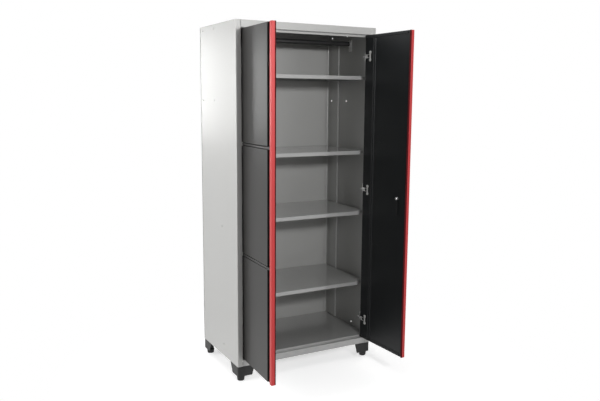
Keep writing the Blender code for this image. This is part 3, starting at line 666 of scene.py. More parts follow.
    def folds(self, test: Callable[[Vector, Vector], bool] = lambda a, b: True) -> "Bench":
        """Select the edges where two faces meet at an angle and whose two ends pass a test."""
        return self._select(Pick.EDGE, lambda edge: len(edge.link_faces) == 2
                            and edge.calc_face_angle() > FOLD_ANGLE
                            and test(edge.verts[0].co, edge.verts[1].co))

    def extrude(self, move: Point) -> "Bench":
        """Extrude the selection."""
        bpy.ops.mesh.extrude_region_move(TRANSFORM_OT_translate={"value": Vector(move)})
        return self

    def walls(self, move: Point) -> "Bench":
        """Extrude the selected edges into walls."""
        bpy.ops.mesh.extrude_edges_move(TRANSFORM_OT_translate={"value": Vector(move)})
        return self

    def shift(self, move: Point) -> "Bench":
        """Move the selection."""
        bpy.ops.transform.translate(value=Vector(move))
        return self

    def bevel(self, width: float, steps: int) -> "Bench":
        """Round the selected edges."""
        bpy.ops.mesh.bevel(offset=width, segments=steps, profile=0.5, affect="EDGES", clamp_overlap=True)
        return self

    def inset(self, width: float, depth: float = 0.0) -> "Bench":
        """Inset the selected faces and sink or raise them."""
        bpy.ops.mesh.inset(thickness=width, depth=depth)
        return self

    def bisect(self, point: Point, normal: Point) -> "Bench":
        """Cut the whole mesh along a plane, and keep both halves.

        Args:
            point: Point of the plane.
            normal: Direction across the plane.

        Returns:
            The same piece.
        """
        self.all()
        bpy.ops.mesh.bisect(plane_co=point, plane_no=normal)
        return self

    def modify(self, kind: str, **settings: Any) -> "Bench":
        """Add a modifier and apply it.

        Args:
            kind: Blender's name of the modifier type.
            settings: Properties of the modifier.

        Returns:
            The same piece.
        """
        self.editing(False)
        modifier = self.obj.modifiers.new(kind.lower(), kind)
        for key, setting in settings.items():
            setattr(modifier, key, setting)
        bpy.ops.object.modifier_apply(modifier=modifier.name)
        return self

    def thicken(self, sheet: float) -> "Bench":
        """Give a drawn sheet its thickness, half on each side.

        Args:
            sheet: Thickness of the sheet.

        Returns:
            The same piece.
        """
        self.all()
        bpy.ops.mesh.normals_make_consistent(inside=False)
        return self.modify("SOLIDIFY", thickness=sheet, offset=0.0, use_even_offset=True)

    def soften(self, width: float) -> "Bench":
        """Break every sharp edge."""
        return self.modify("BEVEL", width=width, segments=SOFTEN_STEPS, limit_method="ANGLE",
                           angle_limit=SOFTEN_ANGLE, miter_outer="MITER_ARC")

    def combine(self, operation: str, others: Sequence["Bench"]) -> "Bench":
        """Cut other shapes out of the piece, or add them to it, and clear them away.

        Args:
            operation: Blender's name of the Boolean operation.
            others: The other shapes.

        Returns:
            The same piece.
        """
        for other in others:
            other.editing(False)
            self.modify("BOOLEAN", operation=operation, solver="EXACT", object=other.obj)
            other.discard()
        return self

    def cut(self, *others: "Bench") -> "Bench":
        """Cut other shapes out of the piece."""
        return self.combine("DIFFERENCE", others)

    def fuse(self, *others: "Bench") -> "Bench":
        """Add other shapes to the piece."""
        return self.combine("UNION", others)

    def joined(self, others: Sequence["Bench"]) -> "Bench":
        """Take separate shapes into one object.

        Args:
            others: Shapes that end up in this piece.

        Returns:
            The same piece.
        """
        self.editing(False)
        for other in others:
            other.obj.select_set(True)
        bpy.ops.object.join()
        return self

    def discard(self) -> None:
        """Take the piece off the bench for good."""
        bpy.data.objects.remove(self.obj, do_unlink=True)

    def put(self, move: Point, turn: Point = ORIGIN, scale: Point = FULL_SIZE) -> "Bench":
        """Scale, turn and move the whole piece, and keep that in its mesh.

        Args:
            move: Shift of the piece.
            turn: Turn about each axis through the origin, made before the shift.
            scale: Size along each axis against the size that is there.

        Returns:
            The same piece.
        """
        self.editing(False)
        self.obj.location = move
        self.obj.rotation_euler = turn
        self.obj.scale = scale
        bpy.ops.object.transform_apply(location=True, rotation=True, scale=True)
        return self

    def settle(self, move: Point = ORIGIN, turn: float = 0.0, scale: Point = FULL_SIZE) -> "Bench":
        """Put the piece in its place, turn its faces outwards and shade it.

        Args:
            move: Shift of the whole piece.
            turn: Turn about an upright axis through the origin, made before the shift.
            scale: Size along each axis, negative to mirror the piece.

        Returns:
            The finished piece, at the origin, with its place in its mesh.
        """
        self.put(move, (0.0, 0.0, turn), scale)
        shape = bmesh.new()
        shape.from_mesh(self.obj.data)
        if shape.calc_volume(signed=True) < 0.0:
            self.obj.data.flip_normals()
        shape.free()
        bpy.ops.object.shade_smooth_by_angle(angle=SHARP_ANGLE)
        return self.modify("WEIGHTED_NORMAL", keep_sharp=True)

    def copied(self, name: str) -> "Bench":
        """Copy the piece with a mesh of its own.

        Args:
            name: Name of the copy.

        Returns:
            The copy on the bench.
        """
        self.editing(False)
        copy = self.obj.copy()
        copy.data = self.obj.data.copy()
        copy.name = name
        copy.data.name = name
        bpy.context.collection.objects.link(copy)
        return Bench(copy)

    def mirrored(self, name: str, axis: Axis, about: float = 0.0) -> "Bench":
        """Copy the settled piece to the other side of an upright plane.

        Args:
            name: Name of the copy.
            axis: Direction across the plane.
            about: Place of the plane along that direction.

        Returns:
            The settled copy.
        """
        scale = list(FULL_SIZE)
        scale[axis.value] = -1.0
        move = list(ORIGIN)
        move[axis.value] = 2.0 * about
        return self.copied(name).settle(move, scale=scale)


def fit(piece: Bench, finish: Finishes, body: str, *nodes: str) -> None:
    """Dress a piece and set it on the body that carries it.

    Args:
        piece: The finished piece.
        finish: Its finish.
        body: Body of the frame that it rides on.
        nodes: Nodes of the frame that it stands for.
    """
    piece.obj.data.materials.clear()
    piece.obj.data.materials.append(finish.value.material())
    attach(piece.obj, body)
    if nodes:
        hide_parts(*nodes)
    LOG.info("%s: %s on %s", piece.obj.name, finish.value.name, body)


def fit_both_walls(right: Bench, finish: Finishes, *nodes: str) -> None:
    """Mirror a piece of the case's right side to its left, and dress both.

    Args:
        right: The settled piece, with the word right in its name.
        finish: Finish of both pieces.
        nodes: Nodes that the right piece stands for, with the word right in their names.
    """
    left = right.mirrored(right.obj.name.replace(Side.RIGHT.value, Side.LEFT.value), Axis.X)
    fit(right, finish, "case", *nodes)
    fit(left, finish, "case", *[node.replace(Side.RIGHT.value, Side.LEFT.value) for node in nodes])


@dataclass(frozen=True)
class Case:
    """Sizes of the case that its sub-assemblies share."""

    half_width: float = 0.4572
    depth: float = 0.550
    height: float = 1.968
    sheet: float = 0.0010
    seat: float = 0.0003
    slip: float = 0.0015
    flange: float = 0.032
    origin: Triple = (0.0, *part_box("side_panel_left")[0].yz)

    @property
    def skin(self) -> float:
        """Distance of the side skins' inner faces from the middle."""
        return self.half_width - self.sheet

    @property
    def opening(self) -> float:
        """Distance of the door opening's sides from the middle."""
        return self.half_width - self.flange

    @property
    def rear(self) -> float:
        """Depth of the rear flanges' front faces."""
        return self.depth - 2 * self.sheet - self.seat

    @property
    def wall(self) -> float:
        """Distance from the middle at which pieces stand against the side walls."""
        return self.skin - self.seat

    @property
    def side_top(self) -> float:
        """Height at which sides and back end, under the top panel."""
        return self.height - self.sheet - self.seat


@dataclass
class Screws:
    """Pan-head screws with a cross recess, set in rows."""

    radius: float = 0.0040
    height: float = 0.0018
    sunk: float = 0.0004
    sides: int = 20
    recess: Triple = (0.0011, 0.0046, 0.0012)

    def row(self, name: str, places: Sequence[Point], way: Point, scale: float = 1.0) -> Bench:
        """Set heads at several places.

        Args:
            name: Name of the row.
            places: Middle of each head's seat.
            way: Direction in which the heads point.
            scale: Size of the heads against the usual size.

        Returns:
            The row, as one piece that isn't settled yet.
        """
        head = Bench.bar(name, self.radius, (0.0, 0.0, -self.sunk), (0.0, 0.0, self.height), self.sides)
        head.edges(lambda a, b: min(a.z, b.z) > self.height - WELD).bevel(self.height / 2, 3)
        wide, long, deep = self.recess
        for across, along in ((wide, long), (long, wide)):
            head.cut(Bench.block("recess", (-across / 2, -along / 2, self.height - deep),
                                 (across / 2, along / 2, self.height + deep)))
        turn = Vector(way).to_track_quat("Z", "Y").to_euler()
        heads = [head.copied(f"{name}_{number}").put(place, turn, (scale, scale, scale))
                 for number, place in enumerate(places)]
        head.discard()
        heads[0].joined(heads[1:])
        heads[0].obj.name = name
        return heads[0]


@dataclass
class CaseShell:
    """Folded sides, back, top with its header and bottom with its rail."""

    case: Case
    screws: Screws
    bend: float = 0.0022
    small_bend: float = 0.0014
    corner_bend: float = 0.0035
    rear_bend: float = 0.0080
    stile: float = 0.065
    rear_flange: float = 0.020
    header: float = 0.042
    lip_drop: float = 0.013
    stop: float = 0.0285
    notch_drop: float = 0.030
    rail: float = 0.038
    rail_flange: float = 0.020
    deck: float = 0.050
    deck_fold: float = 0.030
    top_flange: float = 0.012
    back_flange: float = 0.016
    hole_radius: float = 0.0050
    hole_sides: int = 24
    drill_reach: float = 0.010
    holes: tuple[Pair, ...] = (
        (0.322, 1.943), (0.505, 1.943), (0.322, 1.532), (0.505, 1.532), (0.225, 0.798),
        (0.215, 0.0725))
    back_screws: int = 6
    back_screw_inset: float = 0.010
    back_screw_ends: float = 0.050
    back_screw_scale: float = 0.9

    def build(self) -> None:
        """Build and dress the five sheets."""
        self._sides()
        self._back()
        self._top()
        self._bottom()

    def _across(self, name: str, profile: Sequence[Pair], reach: float) -> Bench:
        """Sweep a profile of depth and height across the case."""
        strip = Bench.line(name, [(-reach, depth, height) for depth, height in profile])
        return strip.all().extrude((2 * reach, 0.0, 0.0))

    def _sides(self) -> None:
        """Fold the right side from its stile return to its rear flange, drill it and mirror it."""
        case = self.case
        half = case.sheet / 2
        rear = case.rear + half
        profile = ((case.opening + half, self.stile), (case.opening + half, half),
                   (case.half_width - half, half), (case.half_width - half, rear),
                   (case.half_width - self.rear_flange, rear))
        right = Bench.line("side_panel_right_sheet", [(across, depth, 0.0) for across, depth in profile])
        right.all().extrude((0.0, 0.0, case.side_top))
        right.folds(lambda a, b: a.y < case.depth / 2).bevel(self.corner_bend, 5)
        right.folds(lambda a, b: a.y > case.depth / 2).bevel(self.rear_bend, 6).thicken(case.sheet)
        drills = [Bench.bar("drill", self.hole_radius, (case.half_width - self.drill_reach, depth, height),
                            (case.half_width + self.drill_reach, depth, height), self.hole_sides)
                  for depth, height in self.holes]
        right.cut(*drills).settle(case.origin)
        fit_both_walls(right, Finishes.SILVER, "side_panel_right")

    def _back(self) -> None:
        """Fold the back's lower flange, nick its ends and set the screws up both sides."""
        case = self.case
        half = case.sheet / 2
        middle = case.depth - half
        top = case.side_top
        back = self._across("back_panel_sheet", ((middle - self.back_flange, half), (middle, half),
                                                 (middle, top)), case.half_width)
        back.folds().bevel(self.small_bend, 3).thicken(case.sheet)
        end = case.half_width - self.rear_flange - case.slip
        nicks = [Bench.block("nick", (sign * end, middle - 2 * self.back_flange, -self.back_flange),
                             (sign * BEYOND, case.depth - case.sheet, self.back_flange))
                 for sign in BOTH_WAYS]
        back.cut(*nicks).settle(case.origin)
        fit(back, Finishes.SILVER, "case", "back_panel")
        low, high = self.back_screw_ends, top - self.back_screw_ends
        heights = [low + (high - low) * step / (self.back_screws - 1) for step in range(self.back_screws)]
        places = [(sign * (case.half_width - self.back_screw_inset), case.depth, height)
                  for sign in BOTH_WAYS for height in heights]
        row = self.screws.row("back_panel_screws", places, (0.0, 1.0, 0.0), self.back_screw_scale)
        fit(row.settle(case.origin), Finishes.ZINC, "case")

    def _top(self) -> None:
        """Fold the top down in front into header, ledge and door stop, with flanges inside the walls."""
        case = self.case
        half = case.sheet / 2
        lip = self.stop - half
        bottom = case.height - self.header
        top = self._across("top_panel_sheet", (
            (case.depth, case.height - half), (half, case.height - half), (half, bottom + half),
            (lip, bottom + half), (lip, bottom - self.lip_drop)), case.half_width)
        top.folds().bevel(self.bend, 4).thicken(case.sheet)
        under = case.height - case.sheet
        outer = case.wall
        rear = case.rear - case.seat
        for sign in BOTH_WAYS:
            top.cut(Bench.block("notch", (sign * (case.opening - case.seat), -self.stop,
                                          bottom - self.notch_drop),
                                (sign * BEYOND, 2 * self.stop, under + CLEAR)))
            top.fuse(Bench.block("flange", (sign * (outer - case.sheet), self.stile + case.slip,
                                            under - self.top_flange), (sign * outer, rear, under + half)))
        inner = outer - case.sheet - case.slip
        top.fuse(Bench.block("flange", (-inner, rear - case.sheet, under - self.top_flange),
                             (inner, rear, under + half)))
        fit(top.settle(case.origin), Finishes.SILVER, "case", "top_panel")

    def _bottom(self) -> None:
        """Fold rail, ledge, door stop and deck from one sheet, notched round the stiles."""
        case = self.case
        half = case.sheet / 2
        lip = self.stop - half
        rear = case.rear - case.seat
        outer = case.wall
        bottom = self._across("bottom_panel_sheet", (
            (self.rail_flange, half), (half, half), (half, self.rail - half), (lip, self.rail - half),
            (lip, self.deck - half), (rear - half, self.deck - half),
            (rear - half, self.deck - self.deck_fold)), outer)
        bottom.folds().bevel(self.small_bend, 3).thicken(case.sheet)
        end = self.stile + case.slip
        for sign in BOTH_WAYS:
            bottom.cut(Bench.block("notch", (sign * (case.opening - case.seat), -self.deck, -self.deck),
                                   (sign * BEYOND, end, 2 * self.deck)))
            bottom.fuse(Bench.block("fold", (sign * (outer - case.sheet), end + case.slip,
                                             self.deck - self.deck_fold),
                                    (sign * (outer - 2 * CLEAR), rear - case.sheet - case.slip,
                                     self.deck - half)))
        # The bottom panel takes the darker shelf coat, whose darker colour is painted shade of the deck.
        fit(bottom.settle(case.origin), Finishes.SHELF, "case", "bottom_panel")


@dataclass(frozen=True)
class Standard:
    """Slotted channel on a side wall, with its depth in the case and its slots' distance from its edge."""

    end: str
    start: float
    width: float
    inset: float

    @property
    def column(self) -> float:
        """Depth of the column of slots."""
        return self.start + self.inset


@dataclass
class Shelving:
    """Slotted standards, angle supports and four shelves."""

    case: Case
    bend: float = 0.0012
    standard_bend: float = 0.0008
    standard_depth: float = 0.010
    standard_ends: Pair = (0.052, 1.905)
    standards: tuple[Standard, ...] = (
        Standard("front", 0.072, 0.040, 0.020), Standard("rear", 0.410, 0.070, 0.015))
    first_slot: float = 0.090
    pitch: float = 0.0755
    slots: int = 24
    slot_size: Pair = (0.0040, 0.0100)
    slot_corner: float = 0.0012
    punch: Pair = (0.003, 0.004)
    shelf_slots: tuple[int, ...] = (4, 10, 15, 21)
    shelf_lip: float = 0.022
    lip_return: float = 0.012
    lip_corner: float = 0.010
    setback: float = 0.040
    rear_gap: float = 0.003
    notch: Pair = (0.390, 0.075)
    support_sheet: float = 0.0015
    support_ledge: float = 0.024
    support_ends: Pair = (0.076, 0.478)
    support_short: float = 0.002
    hook_drop: float = 0.0080
    hook: Triple = (0.0060, 0.0030, 0.0080)
    hook_taper: float = 0.0006
    hook_nose: Triple = (0.0008, 0.0, -0.0004)

    def build(self) -> None:
        """Build and dress standards, supports and shelves."""
        for standard in self.standards:
            self._standard(standard)
        self._supports()
        self._shelves()

    @property
    def face(self) -> float:
        """Distance of the standards' faces from the middle."""
        return self.case.wall - self.standard_depth

    @property
    def tops(self) -> list[float]:
        """Heights of the shelves' upper faces, from the bottom up."""
        return [self.first_slot + slot * self.pitch + self.hook_drop for slot in self.shelf_slots]

    def _at_levels(self, master: Bench, name: str) -> list[Bench]:
        """Copy a piece that was drawn for the lowest shelf to each shelf, and clear it away.

        Args:
            master: The drawn piece.
            name: Name of the copies, with a place for their number.

        Returns:
            The settled copies, from the bottom up.
        """
        copies = []
        for number, level in enumerate(self.tops, start=1):
            rise = Vector((0.0, 0.0, level - self.tops[0]))
            copies.append(master.copied(name.format(number)).settle(Vector(self.case.origin) + rise))
        master.discard()
        return copies

    def _standard(self, standard: Standard) -> None:
        """Fold a channel, punch its column of slots and mirror it.

        Args:
            standard: Where the channel stands, and its sizes.
        """
        case = self.case
        half = case.sheet / 2
        low, high = self.standard_ends
        front, rear = standard.start + half, standard.start + standard.width - half
        profile = ((case.wall, front), (self.face + half, front), (self.face + half, rear), (case.wall, rear))
        right = Bench.line(f"shelf_standard_{standard.end}_right_channel",
                           [(across, depth, low) for across, depth in profile])
        right.all().extrude((0.0, 0.0, high - low))
        right.folds().bevel(self.standard_bend, 3).thicken(case.sheet)
        across, tall = self.slot_size
        near, far = self.punch
        middle = standard.column
        punch = Bench.block("punch", (self.face - near, middle - across / 2, self.first_slot - tall / 2),
                            (self.face + far, middle + across / 2, self.first_slot + tall / 2))
        punch.edges_along(Axis.X).bevel(self.slot_corner, 2)
        punch.modify("ARRAY", count=self.slots, use_relative_offset=False, use_constant_offset=True,
                     constant_offset_displace=(0.0, 0.0, self.pitch))
        right.cut(punch).settle(case.origin)
        fit_both_walls(right, Finishes.SILVER, f"shelf_standard_{standard.end}_right")

    def _supports(self) -> None:
        """Fold an angle with its two hooks, and copy it to each shelf and side."""
        case = self.case
        half = self.support_sheet / 2
        outer = self.face - case.seat
        top = self.tops[0]
        ledge = top - self.shelf_lip - case.seat - half
        start, end = self.support_ends
        master = Bench.line("support", [
            (outer - self.support_ledge, start, ledge), (outer - half, start, ledge),
            (outer - half, start, top - self.support_short)])
        master.all().extrude((0.0, end - start, 0.0))
        master.folds().bevel(self.bend, 3).thicken(self.support_sheet)
        reach, thick, tall = self.hook
        height = top - self.hook_drop
        for standard in self.standards:
            middle = standard.column
            hook = Bench.block("hook", (outer - half, middle - thick / 2, height - tall / 2),
                               (self.face + reach, middle + thick / 2, height + tall / 2))
            hook.faces(lambda centre, normal: normal.x > FACING).inset(self.hook_taper).shift(self.hook_nose)
            master.fuse(hook)
        for number, right in enumerate(self._at_levels(master, "shelf_support_right_{}_angle"), start=1):
            fit_both_walls(right, Finishes.ZINC, f"shelf_support_right_{number}")

    def _shelves(self) -> None:
        """Fold a shelf down all round, notched at its front corners, and copy it to each level."""
        case = self.case
        half = case.sheet / 2
        top = self.tops[0]
        wide = self.face - case.seat - self.support_sheet - case.slip - half
        front = self.setback + half
        rear = case.rear - self.rear_gap - half
        inner, back = self.notch[0] - half, self.notch[1] + half
        corners = ((-inner, front), (inner, front), (inner, back), (wide, back),
                   (wide, rear), (-wide, rear), (-wide, back), (-inner, back))
        master = Bench.outline("shelf", [(across, depth, top - half) for across, depth in corners])
        master.open_edges().walls((0.0, 0.0, half - self.shelf_lip))
        low = top - self.shelf_lip
        master.edges(lambda a, b: abs(a.z - b.z) > WELD and abs(abs(a.x) - inner) < WELD
                     and a.y < front + WELD)
        master.bevel(self.lip_corner, 6)
        for depth, inwards in ((front, 1), (rear, -1)):
            master.open_edges(lambda a, b: max(abs(a.y - depth), abs(b.y - depth)) < WELD
                              and max(a.z, b.z) < low + WELD)
            master.walls((0.0, inwards * self.lip_return, 0.0))
        master.folds().bevel(self.bend, 3).thicken(case.sheet)
        # The shelves take the darker shelf coat, whose darker colour is painted shade.
        for number, shelf in enumerate(self._at_levels(master, "shelf_{}_tray"), start=1):
            fit(shelf, Finishes.SHELF, "case", f"shelf_{number}")


@dataclass
class HangingRod:
    """Tube under the top, in two brackets that are screwed to the side walls."""

    case: Case
    screws: Screws
    radius: float = 0.0145
    wall: float = 0.0015
    depth: float = 0.280
    height: float = 1.891
    sides: int = 56
    plate: float = 0.002
    plate_width: float = 0.038
    plate_ends: Pair = (1.845, 1.917)
    plate_corner: float = 0.009
    plate_edge: float = 0.0005
    socket: float = 0.014
    socket_wall: float = 0.0030
    socket_edge: float = 0.0010
    lip: float = 0.0095
    lip_corner: float = 0.003
    lip_round: float = 0.0016
    play: float = 0.0003
    screw_place: Pair = (0.011, 0.010)
    screw_scale: float = 0.85

    @property
    def face(self) -> float:
        """Distance of the bracket plates' faces from the middle."""
        return self.case.wall - self.plate

    def build(self) -> None:
        """Build and dress the rod, its brackets and their screws."""
        case = self.case
        reach = self.face - case.seat
        rod = Bench.bar("hanging_rod_tube", self.radius - self.wall / 2, self._on_axis(-reach),
                        self._on_axis(reach), self.sides, "NOTHING")
        rod.thicken(self.wall).settle(case.origin)
        fit(rod, Finishes.LACQUER, "case", "hanging_rod")
        fit_both_walls(self._bracket(), Finishes.BRACKET, "rod_bracket_right")
        aside, above = self.screw_place
        places = [(self.face, self.depth + sign * aside, self.plate_ends[0] + above) for sign in BOTH_WAYS]
        heads = self.screws.row("rod_bracket_right_screws", places, (-1.0, 0.0, 0.0), self.screw_scale)
        fit_both_walls(heads.settle(case.origin), Finishes.ZINC)

    def _on_axis(self, across: float) -> Point:
        """Give a place on the rod's axis."""
        return (across, self.depth, self.height)

    def _bracket(self) -> Bench:
        """Shape a plate with one bent edge and a socket for the rod.

        Returns:
            The settled bracket of the right side.
        """
        outer, face = self.case.wall, self.face
        low, high = self.plate_ends
        half = self.plate_width / 2
        edge = self.depth - half
        right = Bench.block("rod_bracket_right_plate", (face, edge, low), (outer, self.depth + half, high))
        right.edges(lambda a, b: abs(a.x - b.x) > WELD and a.y > self.depth).bevel(self.plate_corner, 6)
        end = face - self.socket
        inside = self.radius + self.play
        ring = Bench.bar("ring", inside + self.socket_wall, self._on_axis(face + self.plate / 2),
                         self._on_axis(end), self.sides)
        ring.edges(lambda a, b: max(a.x, b.x) < end + WELD).bevel(self.socket_edge, 2)
        bore = Bench.bar("bore", inside, self._on_axis(face), self._on_axis(end - self.socket), self.sides)
        tip = outer - self.lip
        lip = Bench.block("lip", (tip, edge, low), (face + self.plate / 2, edge + self.plate, high))
        lip.edges(lambda a, b: abs(a.y - b.y) > WELD and max(a.x, b.x) < face).bevel(self.lip_corner, 4)
        lip.edges(lambda a, b: max(a.x, b.x) < tip + WELD and max(a.y, b.y) < edge + WELD)
        lip.bevel(self.lip_round, 4)
        return right.soften(self.plate_edge).fuse(ring, lip).cut(bore).settle(self.case.origin)


@dataclass
class Feet:
    """Moulded corner brackets and their levelling feet.

    The corners of the pad's base, of its rim and of the collar on it are given from the base's
    lower edge, the rim's upper edge and the middle of the pad's upper face.
    """

    case: Case
    drop: float = 0.060
    wall: float = 0.004
    lengths: Pair = (0.106, 0.116)
    tapers: Pair = (0.015, 0.032)
    plate: Pair = (0.062, 0.004)
    plate_lap: float = 0.0028
    inset: float = 0.030
    corner: float = 0.006
    edge: float = 0.0010
    boss: Pair = (0.020, 0.0555)
    boss_edge: float = 0.0012
    bore: float = 0.0053
    stud: Triple = (0.0050, 0.0015, 0.0008)
    stud_top: float = 0.0785
    pad: Triple = (0.0205, 0.0240, 0.0280)
    pad_base: tuple[Pair, ...] = ((-0.0016, 0.0), (-0.0004, 0.0005), (0.0, 0.0018))
    pad_rim: tuple[Pair, ...] = ((-0.0004, -0.0044), (0.0, -0.0030), (-0.0008, -0.0010), (-0.0028, 0.0))
    pad_collar: tuple[Pair, ...] = ((0.0085, 0.0), (0.0075, 0.0006))
    pad_steps: int = 40
    foot_height: float = 0.090

    def build(self) -> None:
        """Build one corner, mirror it to the others and dress them."""
        foot = self._bracket()
        pad = self._leveller()
        middle = self.case.origin[1] + self.case.depth / 2
        made = []
        for master, suffix, node in ((foot, "moulding", "foot_bracket"), (pad, "turning", "leveller")):
            left = master.mirrored(f"{node}_front_left_{suffix}", Axis.X)
            for side, front in ((Side.RIGHT, master), (Side.LEFT, left)):
                rear = front.mirrored(f"{node}_rear_{side.value}_{suffix}", Axis.Y, middle)
                made += [(front, f"{node}_front_{side.value}"), (rear, f"{node}_rear_{side.value}")]
        for piece, node in made:
            fit(piece, Finishes.NYLON, node if node.startswith("leveller") else "case", node)

    def _place(self, across: float, inwards: float, height: float) -> Point:
        """Give a place by its distances from the right side, the front and the bottom of the case."""
        return (self.case.half_width - across, inwards, height)

    def _on_axis(self, height: float) -> Point:
        """Give a place on the leveller's axis."""
        return self._place(self.inset, self.inset, height)

    def _bracket(self) -> Bench:
        """Mould two walls that narrow downwards, a seat plate and a bored boss.

        Returns:
            The settled bracket of the right front corner.
        """
        case = self.case
        half = self.wall / 2
        top = -case.seat
        front, side = self.lengths
        foot = Bench.line("foot_bracket_front_right_moulding", [
            self._place(front, half, top), self._place(half, half, top), self._place(half, side, top)])
        foot.all().extrude((0.0, 0.0, -self.drop - top))
        floor = -self.drop + WELD
        across, along = self.tapers
        foot.points(lambda place: place.z < floor and place.x < case.half_width - half - WELD)
        foot.shift((across, 0.0, 0.0))
        foot.points(lambda place: place.z < floor and place.y > half + WELD).shift((0.0, -along, 0.0))
        foot.folds().bevel(self.corner, 6).thicken(self.wall).soften(self.edge)
        wide, thick = self.plate
        lap = self.plate_lap
        seat = Bench.block("seat", self._place(lap, lap, 2 * top - thick), self._place(wide, wide, 2 * top))
        radius, tall = self.boss
        boss = Bench.bar("boss", radius, self._on_axis(2 * top - thick / 2), self._on_axis(-tall))
        boss.edges(lambda a, b: max(a.z, b.z) < WELD - tall).bevel(self.boss_edge, 2)
        drill = Bench.bar("drill", self.bore, self._on_axis(self.drop), self._on_axis(-2 * self.drop))
        return foot.fuse(seat, boss).cut(drill).settle(case.origin)

    def _leveller(self) -> Bench:
        """Turn a tapered pad on a threaded stud.

        Returns:
            The settled leveller of the right front corner.
        """
        radius, pitch, depth = self.stud
        base, rim, tall = self.pad
        heights = [tall + pitch * step / 2 for step in range(2, int((self.stud_top - tall) / pitch) * 2)]
        thread = [(radius - depth * (step % 2), height) for step, height in enumerate(heights)]
        collar = [(away, tall + rise) for away, rise in self.pad_collar]
        profile = [(0.0, 0.0), *[(base + away, rise) for away, rise in self.pad_base],
                   *[(rim + away, tall + rise) for away, rise in self.pad_rim],
                   *collar, (radius, collar[-1][1]), *thread,
                   (radius - 2 * depth, self.stud_top), (0.0, self.stud_top)]
        across, inwards, floor = self._on_axis(-self.foot_height)
        pad = Bench.turned("leveller_front_right_turning",
                           [(across + away, inwards, floor + height) for away, height in profile],
                           (across, inwards, floor), (0.0, 0.0, 1.0), self.pad_steps)
        return pad.settle(self.case.origin)


